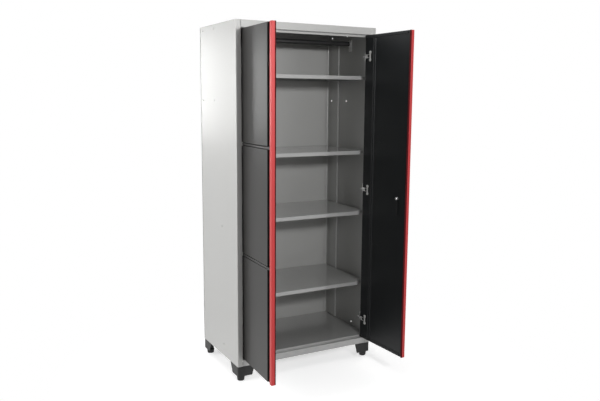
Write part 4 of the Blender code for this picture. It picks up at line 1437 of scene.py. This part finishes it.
@dataclass
class Doors:
    """Two doors, each a pan, three front panels, two cross rails and a pull bar."""

    case: Case
    screws: Screws
    width: float = 0.4207
    ends: Pair = (0.040, 1.924)
    thickness: float = 0.023
    sheet: float = 0.0008
    pivot: Pair = (0.012, 0.008)
    pivot_across: float = 0.4102
    open_angle: float = math.radians(92.6)
    levels: tuple[str, ...] = ("lower", "middle", "upper")
    panel_width: float = 0.366
    panel_depth: float = 0.009
    panel_gap: float = 0.0012
    panel_bend: float = 0.0018
    pan_bend: float = 0.0004
    rail_levels: tuple[str, ...] = ("lower", "upper")
    rail_height: float = 0.012
    rail_gap: float = 0.003
    rail_bend: float = 0.0010
    rail_screw: float = 0.0060
    rail_screw_scale: float = 0.9
    pull_width: float = 0.0262
    pull_round: float = 0.0025
    pull_edge: float = 0.0004
    fin: float = 0.0055
    fin_depth: float = 0.0262
    fin_slant: float = 0.0046
    strip: float = 0.0004
    border: float = 0.016
    border_rise: float = 0.003
    ribs: tuple[Pair, ...] = ((0.0745, 0.0835), (0.0925, 0.1015))
    rib_rise: float = 0.0028
    rib_bend: float = 0.0020
    rib_gap: float = 0.0060
    crease: Triple = (0.109, 0.165, 0.0050)
    crease_depth: float = 0.0012
    notch: Triple = (0.022, 0.0022, 0.0118)
    notch_spare: float = 0.003
    hinges: tuple[tuple[str, float], ...] = (("bottom", 0.165), ("middle", 0.994), ("top", 1.800))
    lock: Pair = (0.340, 0.979)
    lock_bore: float = 0.0095
    lock_sides: int = 40

    @property
    def pan_width(self) -> float:
        """Width of the pan up to the pull bar."""
        return self.width - self.pull_width - self.case.seat

    @property
    def pan_face(self) -> float:
        """Depth of the pan's inner face."""
        return self.thickness - self.border_rise

    @property
    def pull_back(self) -> float:
        """Depth of the pull bar's rear face, beside its fin."""
        return self.pan_face - self.sheet - self.case.seat

    @property
    def seams(self) -> list[float]:
        """Heights of the cross rails' middles, between the panels."""
        low, high = self.ends
        return [low + (high - low) * number / len(self.levels) for number in range(1, len(self.levels))]

    def hang(self, piece: Bench) -> None:
        """Settle a piece that was drawn on the shut left door in its place on the open door.

        Args:
            piece: The drawn piece.
        """
        turn = Matrix.Rotation(-self.open_angle, 3, "Z")
        axis = Vector((-self.pivot_across, self.pivot[1], 0.0)) + Vector(self.case.origin)
        piece.settle(axis - turn @ Vector((*self.pivot, 0.0)), -self.open_angle)

    def build(self) -> None:
        """Build and dress both doors."""
        self._pan()
        self._panels()
        self._rails()
        self._rail_screws()
        self._pull()
        self._edge_strip()

    def _both(self, piece: Bench, suffix: str, node: str, finish: Finishes, bored: bool = False,
              replacing: bool = True) -> None:
        """Hang a piece on the left door, mirror it to the right one and dress both.

        Args:
            piece: The piece as it was drawn on the left door.
            suffix: End of the right piece's name.
            node: Start of its name, with a place for the side; it is also the node's name.
            finish: Finish of both pieces.
            bored: Whether the right piece has the lock's bore.
            replacing: Whether the pieces stand for nodes of the frame.
        """
        right_source = piece.copied("right_source")
        self.hang(piece)
        if bored:
            across, height = self.lock
            right_source.cut(Bench.bar("drill", self.lock_bore, (across, -self.thickness, height),
                                       (across, 2 * self.thickness, height), self.lock_sides))
        self.hang(right_source)
        right = right_source.mirrored(node.format(side=Side.RIGHT.value) + suffix, Axis.X)
        right_source.discard()
        for side, made in ((Side.LEFT, piece), (Side.RIGHT, right)):
            nodes = (node.format(side=side.value),) if replacing else ()
            fit(made, finish, f"{side.value}_door", *nodes)

    @staticmethod
    def _blank(name: str, depth: float, across: Pair, heights: Pair) -> Bench:
        """Lay out a flat rectangle at one depth of the door.

        Args:
            name: Name of the piece.
            depth: Depth of the rectangle.
            across: Distances of its two sides from the hinge edge.
            heights: Heights of its lower and its upper edge.

        Returns:
            The rectangle on the bench.
        """
        near, far = across
        low, high = heights
        corners = ((near, low), (far, low), (far, high), (near, high))
        return Bench.outline(name, [(aside, depth, height) for aside, height in corners])

    def _notches(self) -> list[Bench]:
        """Make the blocks that open the hinge edge for the hinge arms.

        Returns:
            One block for each hinge.
        """
        wide, skin, tall = self.notch
        return [Bench.block("notch", (-self.notch_spare, skin, height - tall),
                            (wide, self.thickness + self.notch_spare, height + tall))
                for _, height in self.hinges]

    def _pan(self) -> None:
        """Press borders, ridges and creases into the pan, fold its walls and close it round the pull."""
        half = self.sheet / 2
        low, high = self.ends
        face = self.pan_face - half
        front = self.panel_depth + self.case.seat
        right = self.pan_width - half
        pan = self._blank("door_pan_left_pressing", face, (half, right), (low + half, high - half))
        inset = 2 * self.sheet
        left_edge, right_edge = inset, self.pan_width - inset
        bottom, top = low + self.border, high - self.border
        rib_low, rib_high = bottom + self.rib_gap, top - self.rib_gap
        start, end, tall = self.crease
        sides = [height + sign * tall / 2 for height in self.seams for sign in BOTH_WAYS]
        for height in (low + inset, bottom, rib_low, *sides, rib_high, top, high - inset):
            pan.bisect((0.0, face, height), (0.0, 0.0, 1.0))
        for across in (left_edge, *self.ribs[0], *self.ribs[1], start, end, right_edge):
            pan.bisect((across, face, 0.0), (1.0, 0.0, 0.0))
        pan.faces(lambda centre, normal: start < centre.x < end
                  and any(abs(centre.z - height) < tall / 2 for height in self.seams))
        pan.extrude((0.0, -self.crease_depth, 0.0))
        pan.faces(lambda centre, normal: left_edge < centre.x < right_edge
                  and (low + inset < centre.z < bottom or top < centre.z < high - inset))
        pan.extrude((0.0, self.border_rise, 0.0))
        pan.faces(lambda centre, normal: rib_low < centre.z < rib_high
                  and any(near < centre.x < far for near, far in self.ribs))
        pan.extrude((0.0, self.rib_rise, 0.0))
        pan.edges(lambda a, b: max(abs(tip.y - face - self.rib_rise) for tip in (a, b)) < WELD)
        pan.bevel(self.rib_bend, 4)
        pan.open_edges().walls((0.0, front - face, 0.0))
        pan.folds(lambda a, b: max(a.x, b.x) < right - WELD).bevel(self.pan_bend, 2)
        pan.thicken(self.sheet)
        wall = self.panel_width - self.sheet
        pan.fuse(Bench.block("recess_wall", (wall, front + CLEAR, low + half),
                             (self.panel_width, face, high - half)))
        pan.fuse(Bench.block(
            "pull_cover", (self.pan_width - half, self.pan_face - self.sheet + CLEAR, low + half),
            (self.width - self.fin - self.case.seat, self.pan_face - 2 * CLEAR, high - half)))
        pan.cut(*self._notches())
        self._both(pan, "_pressing", "door_pan_{side}", Finishes.BLACK, bored=True)

    def _panels(self) -> None:
        """Fold the three front panels back on four sides."""
        half = self.sheet / 2
        low, high = self.ends
        seam = self.rail_height / 2 + self.rail_gap
        bottoms = [low + self.panel_gap] + [height + seam for height in self.seams]
        tops = [height - seam for height in self.seams] + [high - self.panel_gap]
        for level, bottom, top in zip(self.levels, bottoms, tops):
            panel = self._blank(f"door_panel_left_{level}_skin", half, (half, self.panel_width - half),
                                (bottom + half, top - half))
            panel.open_edges().walls((0.0, self.panel_depth - half, 0.0))
            panel.folds().bevel(self.panel_bend, 4).thicken(self.sheet)
            panel.cut(*self._notches())
            self._both(panel, "_skin", "door_panel_{side}_" + level, Finishes.GRAPHITE, level == "middle")

    def _rails(self) -> None:
        """Fold the narrow channels in the seams between the panels."""
        half = self.sheet / 2
        end = self.pan_width - self.case.seat - half
        reach = self.rail_height / 2 - half
        face = self.case.seat + half
        for level, height in zip(self.rail_levels, self.seams):
            rail = self._blank(f"door_cross_rail_left_{level}_channel", face, (half, end),
                               (height - reach, height + reach))
            rail.open_edges().walls((0.0, self.panel_depth - face, 0.0))
            rail.folds().bevel(self.rail_bend, 3).thicken(self.sheet)
            self._both(rail, "_channel", "door_cross_rail_{side}_" + level, Finishes.GRAPHITE)

    def _rail_screws(self) -> None:
        """Set a small screw in the hinge end of each cross rail."""
        places = [(self.rail_screw, self.case.seat, height) for height in self.seams]
        row = self.screws.row("door_rail_screws_left", places, (0.0, -1.0, 0.0), self.rail_screw_scale)
        self._both(row, "", "door_rail_screws_{side}", Finishes.NICKEL, replacing=False)

    def _edge_strip(self) -> None:
        """Lay a dark red strip over the slanted side of the pull's fin: painted shade for that side of the
        red fin in shadow.
        """
        low, high = self.ends
        tip = self.width - self.fin_slant
        strip = Bench.line("door_edge_strip_left", [
            (self.width + self.strip, self.pull_back + self.strip, low),
            (tip, self.fin_depth + self.strip, low),
            (self.width - self.fin, self.fin_depth + self.strip, low)])
        strip.all().extrude((0.0, 0.0, high - low)).thicken(self.strip)
        self._both(strip, "", "door_edge_strip_{side}", Finishes.MAROON, replacing=False)

    def _pull(self) -> None:
        """Shape the pull bar: round outer corners, and a fin that wraps the pan's edge."""
        low, high = self.ends
        start = self.width - self.pull_width
        back = self.pull_back
        root = self.width - self.fin
        pull = Bench.block("door_pull_left_bar", (start, 0.0, low), (self.width, back, high))
        pull.bisect((root, 0.0, 0.0), (1.0, 0.0, 0.0))
        pull.faces(lambda centre, normal: normal.y > FACING and centre.x > root)
        pull.extrude((0.0, self.fin_depth - back, 0.0))
        pull.points(lambda place: place.x > self.width - WELD and place.y > self.fin_depth - WELD)
        pull.shift((-self.fin_slant, 0.0, 0.0))
        for across, depth, steps in ((self.width, back, 4), (self.width, 0.0, 5), (start, 0.0, 5)):
            pull.edges(lambda a, b: abs(a.z - b.z) > WELD and abs(a.x - across) < WELD
                       and abs(a.y - depth) < WELD)
            pull.bevel(self.pull_round, steps)
        pull.soften(self.pull_edge)
        self._both(pull, "_bar", "door_pull_{side}", Finishes.RED)


@dataclass
class Hinges:
    """Three hinges to a door: arm and plate on the stile, ears, pin and screw plate on the door."""

    case: Case
    doors: Doors
    screws: Screws
    lap: float = 0.0004
    edge: float = 0.0005
    plate_corner: float = 0.006
    arm: tuple[float, float, float, float] = (0.028, 0.060, 0.018, 0.008)
    arm_plate: Pair = (0.003, 0.028)
    arm_screw: float = 0.0205
    slim: float = 0.62
    crown: float = 0.0042
    crown_end: float = 0.00336
    nose: Pair = (0.0045, 0.0010)
    knuckle: float = 0.0045
    pin: float = 0.0025
    pin_play: float = 0.0003
    cup: tuple[float, float, float, float] = (0.038, 0.058, 0.002, 0.031)
    cup_screw: float = 0.024
    waist: Pair = (0.0050, 0.0165)
    waist_corner: float = 0.0040
    dish: Triple = (0.0042, 0.0010, 0.0008)
    dish_sides: int = 40
    ear: Triple = (0.0083, 0.0020, 0.0033)
    ear_round: float = 0.00441
    ear_corner: float = 0.0018

    def build(self) -> None:
        """Build one hinge, copy it up both doors and dress the copies."""
        arm, arm_heads = self._arm()
        cup, cup_heads = self._cup()
        masters = ((arm, "hinge_arm", "pressing"), (arm_heads, "hinge_arm", "screws"),
                   (cup, "hinge_cup", "pressing"), (cup_heads, "hinge_cup", "screws"))
        for level, height in self.doors.hinges:
            for master, node, suffix in masters:
                self._set(master, node, suffix, level, height)
        for master, _, _ in masters:
            master.discard()

    def _set(self, master: Bench, node: str, suffix: str, level: str, height: float) -> None:
        """Copy a drawn piece to its height, mirror it to the other door and dress both.

        Args:
            master: The drawn piece.
            node: Node that it belongs to, without side and level.
            suffix: End of its name; a pressing stands for the node itself.
            level: Level of the hinge.
            height: Height of the hinge.
        """
        name = f"{node}_{{}}_{level}_{suffix}"
        on_case = node == "hinge_arm"
        sides = (Side.RIGHT, Side.LEFT) if on_case else (Side.LEFT, Side.RIGHT)
        piece = master.copied(name.format(sides[0].value)).put((0.0, 0.0, height))
        if on_case:
            piece.settle(self.case.origin)
        else:
            self.doors.hang(piece)
        twin = piece.mirrored(name.format(sides[1].value), Axis.X)
        for side, shape in zip(sides, (piece, twin)):
            body, finish = ("case", Finishes.BRIGHT) if on_case else (f"{side.value}_door", Finishes.NICKEL)
            nodes = (f"{node}_{side.value}_{level}",) if suffix == "pressing" else ()
            fit(shape, finish, body, *nodes)

    def _arm(self) -> tuple[Bench, Bench]:
        """Shape the right-hand arm at height zero: plate, rounded body, nose and knuckle.

        Returns:
            The arm and the heads of its screws, not settled yet.
        """
        front, rear, wide, half = self.arm
        thick, tall = self.arm_plate
        outer = self.case.opening - self.case.seat
        inner = outer - thick
        plate = Bench.block("hinge_arm", (inner, front - self.lap, -tall), (outer, rear + thick, tall))
        plate.edges_along(Axis.X).bevel(self.plate_corner, 5).soften(self.edge)
        slim = half * self.slim
        body = Bench.block("body", (inner - wide, front, -slim), (inner + thick / 2, rear, slim))
        body.edges_along(Axis.X).bevel(self.crown, 6)
        body.edges(lambda a, b: max(a.x, b.x) < inner - wide + WELD).bevel(self.crown_end, 5)
        axis = (self.doors.pivot_across, self.doors.pivot[1])
        ahead, behind = self.nose
        nose = Bench.block("nose", (axis[0] - ahead + self.lap, axis[1], self.lap - slim),
                           (axis[0] + behind, front + thick, slim - self.lap))
        barrel = Bench.bar("barrel", self.knuckle, (*axis, -half), (*axis, half))
        barrel.edges(lambda a, b: abs(a.z - b.z) < WELD).bevel(self.edge, 2)
        drill = Bench.bar("drill", self.pin + self.pin_play, (*axis, -tall), (*axis, tall))
        plate.fuse(body, nose, barrel).cut(drill)
        places = [(inner, (front + rear) / 2, sign * self.arm_screw) for sign in BOTH_WAYS]
        return plate, self.screws.row("hinge_arm_heads", places, (-1.0, 0.0, 0.0))

    def _cup(self) -> tuple[Bench, Bench]:
        """Shape the left-hand cup side at height zero: screw plate, round dish, two ears and the pin.

        Returns:
            The cup side and the heads of its screws, not settled yet.
        """
        start, end, thick, tall = self.cup
        seat = self.doors.pan_face + self.case.seat
        face = seat + thick
        plate = Bench.block("hinge_cup", (start, seat, -tall), (end, face, tall))
        plate.edges_along(Axis.Y).bevel(self.plate_corner, 6)
        middle = (start + end) / 2
        aside, high = self.waist
        for sign in BOTH_WAYS:
            waist = Bench.block("waist", (middle + sign * aside, 0.0, -high),
                                (middle + sign * 2 * (end - start), 2 * face, high))
            waist.edges(lambda a, b: abs(a.y - b.y) > WELD and abs(a.x - middle) < end - start)
            plate.cut(waist.bevel(self.waist_corner, 5))
        plate.soften(self.edge)
        radius, rim, sink = self.dish
        dish = Bench.bar("dish", radius, (middle, seat + thick / 2, 0.0), (middle, face + rim, 0.0),
                         self.dish_sides)
        dish.faces(lambda centre, normal: normal.y > FACING).inset(rim).inset(sink, -sink)
        near, ear, _ = self.ear
        lug = self._ear(seat, middle)
        other = lug.copied("other_lug").put((0.0, 0.0, -2 * near - ear))
        across, depth = self.doors.pivot
        reach = near + ear - self.lap
        pin = Bench.bar("pin", self.pin, (across, depth, -reach), (across, depth, reach))
        plate.fuse(dish, lug, other, pin)
        places = [(middle, face, sign * self.cup_screw) for sign in BOTH_WAYS]
        return plate, self.screws.row("hinge_cup_heads", places, (0.0, 1.0, 0.0))

    def _ear(self, seat: float, middle: float) -> Bench:
        """Shape the upper of the two ears that run from the screw plate round the pin.

        Args:
            seat: Depth of the screw plate's seat.
            middle: Distance of the screw plate's middle from the hinge edge.

        Returns:
            The ear on the bench.
        """
        near, ear, rise = self.ear
        across, depth = self.doors.pivot
        root, top = seat + self.lap, seat + rise
        lug = Bench.block("lug", (across - self.knuckle, depth - self.knuckle, near),
                          (across + self.knuckle, top, near + ear))
        lug.bisect((0.0, root, 0.0), (0.0, 1.0, 0.0))
        lug.faces(lambda centre, normal: normal.x > FACING and centre.y > root)
        lug.extrude((middle - across - self.knuckle, 0.0, 0.0))
        lug.edges(lambda a, b: abs(a.z - b.z) > WELD and max(a.y, b.y) < depth).bevel(self.ear_round, 7)
        lug.edges(lambda a, b: abs(a.z - b.z) > WELD and a.x < across and min(a.y, b.y) > root)
        return lug.bevel(self.ear_corner, 4)


@dataclass
class Lock:
    """Cam lock of the right door: housing and nut on the door, plug, cam and its bolt that turn.

    The corners of the bezel's rounded rim are given from its front edge.
    """

    doors: Doors
    bezel: Pair = (0.0110, 0.0015)
    bezel_rim: tuple[Pair, ...] = ((-0.0022, 0.0), (-0.0009, 0.0003), (0.0, 0.0010))
    mouth: float = 0.0004
    chamfer: float = 0.0005
    barrel: float = 0.0092
    plug: float = 0.0060
    plug_sides: int = 40
    reach: float = 0.0068
    play: float = 0.0003
    cam: Triple = (0.016, 0.002, 0.0977)
    cam_corner: float = 0.0050
    cam_edge: float = 0.0003
    keyway: Triple = (0.0014, 0.0060, 0.0030)
    nut: Pair = (0.0118, 0.0042)
    nut_sides: int = 6
    nut_edge: float = 0.0006
    nut_play: float = 0.0001
    bore_sides: int = 48
    dome: Triple = (0.0078, 0.0052, 0.0008)
    dome_steps: int = 9

    def build(self) -> None:
        """Build the pieces on the left-hand drawing, mirror them to the right door and dress them."""
        finished = []
        for piece, node, body, finish in (
                (self._housing(), "lock_housing", "right_door", Finishes.CHROME),
                (self._nut(), "", "right_door", Finishes.CAM),
                (self._plug(), "lock_cam", "lock_plug", Finishes.CAM),
                (self._bolt(), "", "lock_plug", Finishes.CHROME)):
            self.doors.hang(piece)
            name = piece.obj.name
            piece.obj.name = name + "_drawn"
            finished.append((piece.mirrored(name, Axis.X), node, body, finish))
            piece.discard()
        for piece, node, body, finish in finished:
            fit(piece, finish, body, *((node,) if node else ()))

    @property
    def back(self) -> float:
        """Depth of the housing's rear end."""
        return self.doors.pan_face + self.reach

    def _at(self, away: float, depth: float) -> Point:
        """Give a place by its distance across from the lock's axis and its depth."""
        across, height = self.doors.lock
        return (across + away, depth, height)

    def _ring(self, name: str, profile: Sequence[Pair]) -> Bench:
        """Turn a profile of radius and depth round the lock's axis."""
        corners = [self._at(*corner) for corner in profile]
        return Bench.turned(name, corners, self._at(0.0, 0.0), (0.0, 1.0, 0.0))

    def _housing(self) -> Bench:
        """Turn the flanged housing.

        Returns:
            The housing on the left-hand drawing.
        """
        rim, proud = self.bezel
        bore = self.plug + self.play
        front = -proud - self.play
        profile = [(bore, front + self.mouth), (bore + self.chamfer, front),
                   *[(rim + away, front + deep) for away, deep in self.bezel_rim],
                   (rim, -self.play), (self.barrel, -self.play), (self.barrel, self.back - self.chamfer),
                   (self.barrel - self.chamfer, self.back), (bore, self.back)]
        return self._ring("lock_housing_turning", [*profile, profile[0]])

    def _nut(self) -> Bench:
        """Make the hexagon nut that draws the housing against the pan.

        Returns:
            The nut on the left-hand drawing.
        """
        size, thick = self.nut
        seat = self.doors.pan_face + self.play
        nut = Bench.bar("lock_nut", size, self._at(0.0, seat), self._at(0.0, seat + thick), self.nut_sides)
        nut.edges(lambda a, b: abs(a.y - b.y) < WELD).bevel(self.nut_edge, 2)
        return nut.cut(Bench.bar("bore", self.barrel + self.nut_play, self._at(0.0, 0.0),
                                 self._at(0.0, 2 * self.doors.thickness), self.bore_sides))

    def _plug(self) -> Bench:
        """Make the turning plug with its keyway and the long cam that hangs from it.

        Returns:
            The plug with its cam on the left-hand drawing.
        """
        wide, thick, length = self.cam
        front = self.back + self.play
        across, height = self.doors.lock
        proud = self.bezel[1]
        plug = Bench.bar("lock_cam_plug", self.plug, self._at(0.0, -proud),
                         self._at(0.0, front + 2 * thick), self.plug_sides)
        cam = Bench.block("cam", (across - wide / 2, front, height - length),
                          (across + wide / 2, front + thick, height + wide / 2))
        cam.edges_along(Axis.Y).bevel(self.cam_corner, 6).soften(self.cam_edge)
        slot, tall, deep = self.keyway
        key = Bench.block("key", (across - slot / 2, -2 * proud, height - tall / 2),
                          (across + slot / 2, deep - proud, height + tall / 2))
        return plug.fuse(cam).cut(key)

    def _bolt(self) -> Bench:
        """Turn the domed bolt that holds the cam on the plug.

        Returns:
            The bolt on the left-hand drawing.
        """
        start = self.back + self.play + 2 * self.cam[1] + CLEAR
        radius, rise, base = self.dome
        turns = [math.radians(90 * step / self.dome_steps) for step in range(self.dome_steps + 1)]
        dome = [(radius * math.cos(turn), start + base + rise * math.sin(turn)) for turn in turns]
        dome[-1] = (0.0, dome[-1][1])
        return self._ring("lock_cam_bolt", [(0.0, start), (radius - self.chamfer, start), *dome])


@dataclass(frozen=True)
class Softbox:
    """Square studio lamp."""

    name: str
    place: Triple
    target: Triple
    size: Pair
    power: float

    def hang(self) -> None:
        """Put the lamp in the scene."""
        way = Vector(self.target) - Vector(self.place)
        turn = way.to_track_quat("-Z", "Y").to_euler()
        bpy.ops.object.light_add(type="AREA", location=self.place, rotation=turn)
        lamp = bpy.context.active_object
        lamp.name = self.name
        lamp.data.shape = "RECTANGLE"
        lamp.data.size, lamp.data.size_y = self.size
        lamp.data.energy = self.power
        lamp.visible_camera = False


@dataclass
class Studio:
    """Pale floor, soft lamps, white surroundings and the camera."""

    camera_place: Triple = (-1.9239, -3.5210, 1.6390)
    yaw: float = 0.4968
    pitch: float = -0.1505
    roll: float = 0.0067
    focal_pixels: float = 674.93
    frame_pixels: float = 600.0
    sensor: float = 36.0
    ambient: float = 0.11
    paper: float = 0.68
    paper_spread: float = 0.01
    paper_mottle: float = 1.5
    paper_roughness: float = 0.9
    paper_specular: float = 0.1
    floor_glow: float = 0.57
    floor_white: float = 1.0
    floor_fade: Pair = (0.6, 1.5)
    floor_size: float = 60.0
    lamps: tuple[Softbox, ...] = (
        Softbox("left_softbox", (-3.4, 0.45, 2.0), (-0.45, 0.2, 1.0), (2.4, 2.8), 93.0),
        Softbox("rim_softbox", (-0.95, 2.8, 1.75), (-0.43, -0.2, 1.0), (0.32, 0.97), 14.4),
        Softbox("front_softbox", (-0.10, -3.6, 2.12), (0.0, 0.2, 1.2), (0.6, 0.3), 65.0),
        Softbox("right_softbox", (1.7, -4.0, 2.7), (0.0, 0.0, 1.4), (1.4, 1.0), 6.0),
        Softbox("near_softbox", (-3.2, -2.2, 1.2), (-0.45, -0.2, 0.9), (0.8, 1.0), 13.0),
        Softbox("top_softbox", (-0.4, -0.6, 4.6), (0.0, 0.0, 0.0), (3.0, 3.0), 60.0),
        Softbox("fill_softbox", (3.3, 1.0, 2.0), (0.45, 0.2, 1.0), (2.2, 2.6), 46.0),
    )

    def build(self) -> None:
        """Set up camera, view, surroundings, floor and lamps."""
        Bench.clear()
        bpy.context.scene.view_settings.view_transform = "Standard"
        self._camera()
        self._surroundings()
        self._floor()
        for lamp in self.lamps:
            lamp.hang()

    def _camera(self) -> None:
        """Put the camera at the photograph's view."""
        level = Vector((math.cos(self.yaw), -math.sin(self.yaw), 0.0))
        ahead = Vector((math.sin(self.yaw) * math.cos(self.pitch), math.cos(self.yaw) * math.cos(self.pitch),
                        math.sin(self.pitch)))
        upright = level.cross(ahead)
        right = math.cos(self.roll) * level + math.sin(self.roll) * upright
        up = math.cos(self.roll) * upright - math.sin(self.roll) * level
        turn = Matrix((right, up, -ahead)).transposed().to_euler()
        bpy.ops.object.camera_add(location=self.camera_place, rotation=turn)
        camera = bpy.context.active_object
        camera.name = "photo_camera"
        camera.data.sensor_width = self.sensor
        camera.data.lens = self.focal_pixels / self.frame_pixels * self.sensor
        camera.data.dof.use_dof = False
        bpy.context.scene.camera = camera

    def _surroundings(self) -> None:
        """Light the object with a plain grey dome that shows as white."""
        world = bpy.data.worlds.new("studio")
        bpy.context.scene.world = world
        sheet = ShaderSheet(world)
        dome, white = [sheet.node("ShaderNodeBackground", inputs={"Color": WHITE, "Strength": strength})
                       for strength in (self.ambient, 1.0)]
        mixed = sheet.chosen(sheet.bare_ray(), dome, white)
        sheet.node("ShaderNodeOutputWorld", inputs={"Surface": mixed})

    def _floor(self) -> None:
        """Lay a pale floor that keeps the shadow and shows white elsewhere."""
        bpy.ops.mesh.primitive_plane_add(size=self.floor_size, location=ORIGIN)
        floor = bpy.context.active_object
        floor.name = "studio_floor"
        material = bpy.data.materials.new("pale_floor")
        sheet = ShaderSheet(material)
        mottle = sheet.noise(sheet.place(), self.paper_mottle)
        paper = sheet.blend(mottle, (self.paper - self.paper_spread,) * 3,
                            (self.paper + self.paper_spread,) * 3)
        matte = sheet.node("ShaderNodeBsdfPrincipled", inputs={
            "Base Color": paper, "Roughness": self.paper_roughness,
            "Specular IOR Level": self.paper_specular})
        glow, white = [sheet.node("ShaderNodeEmission", inputs={"Color": WHITE, "Strength": strength})
                       for strength in (self.floor_glow, self.floor_white)]
        length = sheet.node("ShaderNodeVectorMath", {"operation": "LENGTH"}, {0: sheet.place()}, "Value")
        near, far = self.floor_fade
        away = sheet.node("ShaderNodeMapRange", {"interpolation_type": "SMOOTHSTEP"},
                          {"Value": length, "From Min": near, "From Max": far})
        lifted = sheet.node("ShaderNodeAddShader", inputs={0: matte, 1: glow})
        mixed = sheet.chosen(sheet.bare_ray(), matte, sheet.chosen(away, lifted, white))
        sheet.node("ShaderNodeOutputMaterial", inputs={"Surface": mixed})
        floor.data.materials.append(material)


def main() -> None:
    """Build the studio and every sub-assembly."""
    logging.basicConfig(level=logging.INFO, format="%(name)s %(message)s")
    case = Case()
    screws = Screws()
    doors = Doors(case, screws)
    for assembly in (Studio(), CaseShell(case, screws), Shelving(case), HangingRod(case, screws), Feet(case),
                     doors, Hinges(case, doors, screws), Lock(doors)):
        LOG.info("building %s", type(assembly).__name__)
        assembly.build()


if __name__ == "__main__":
    main()
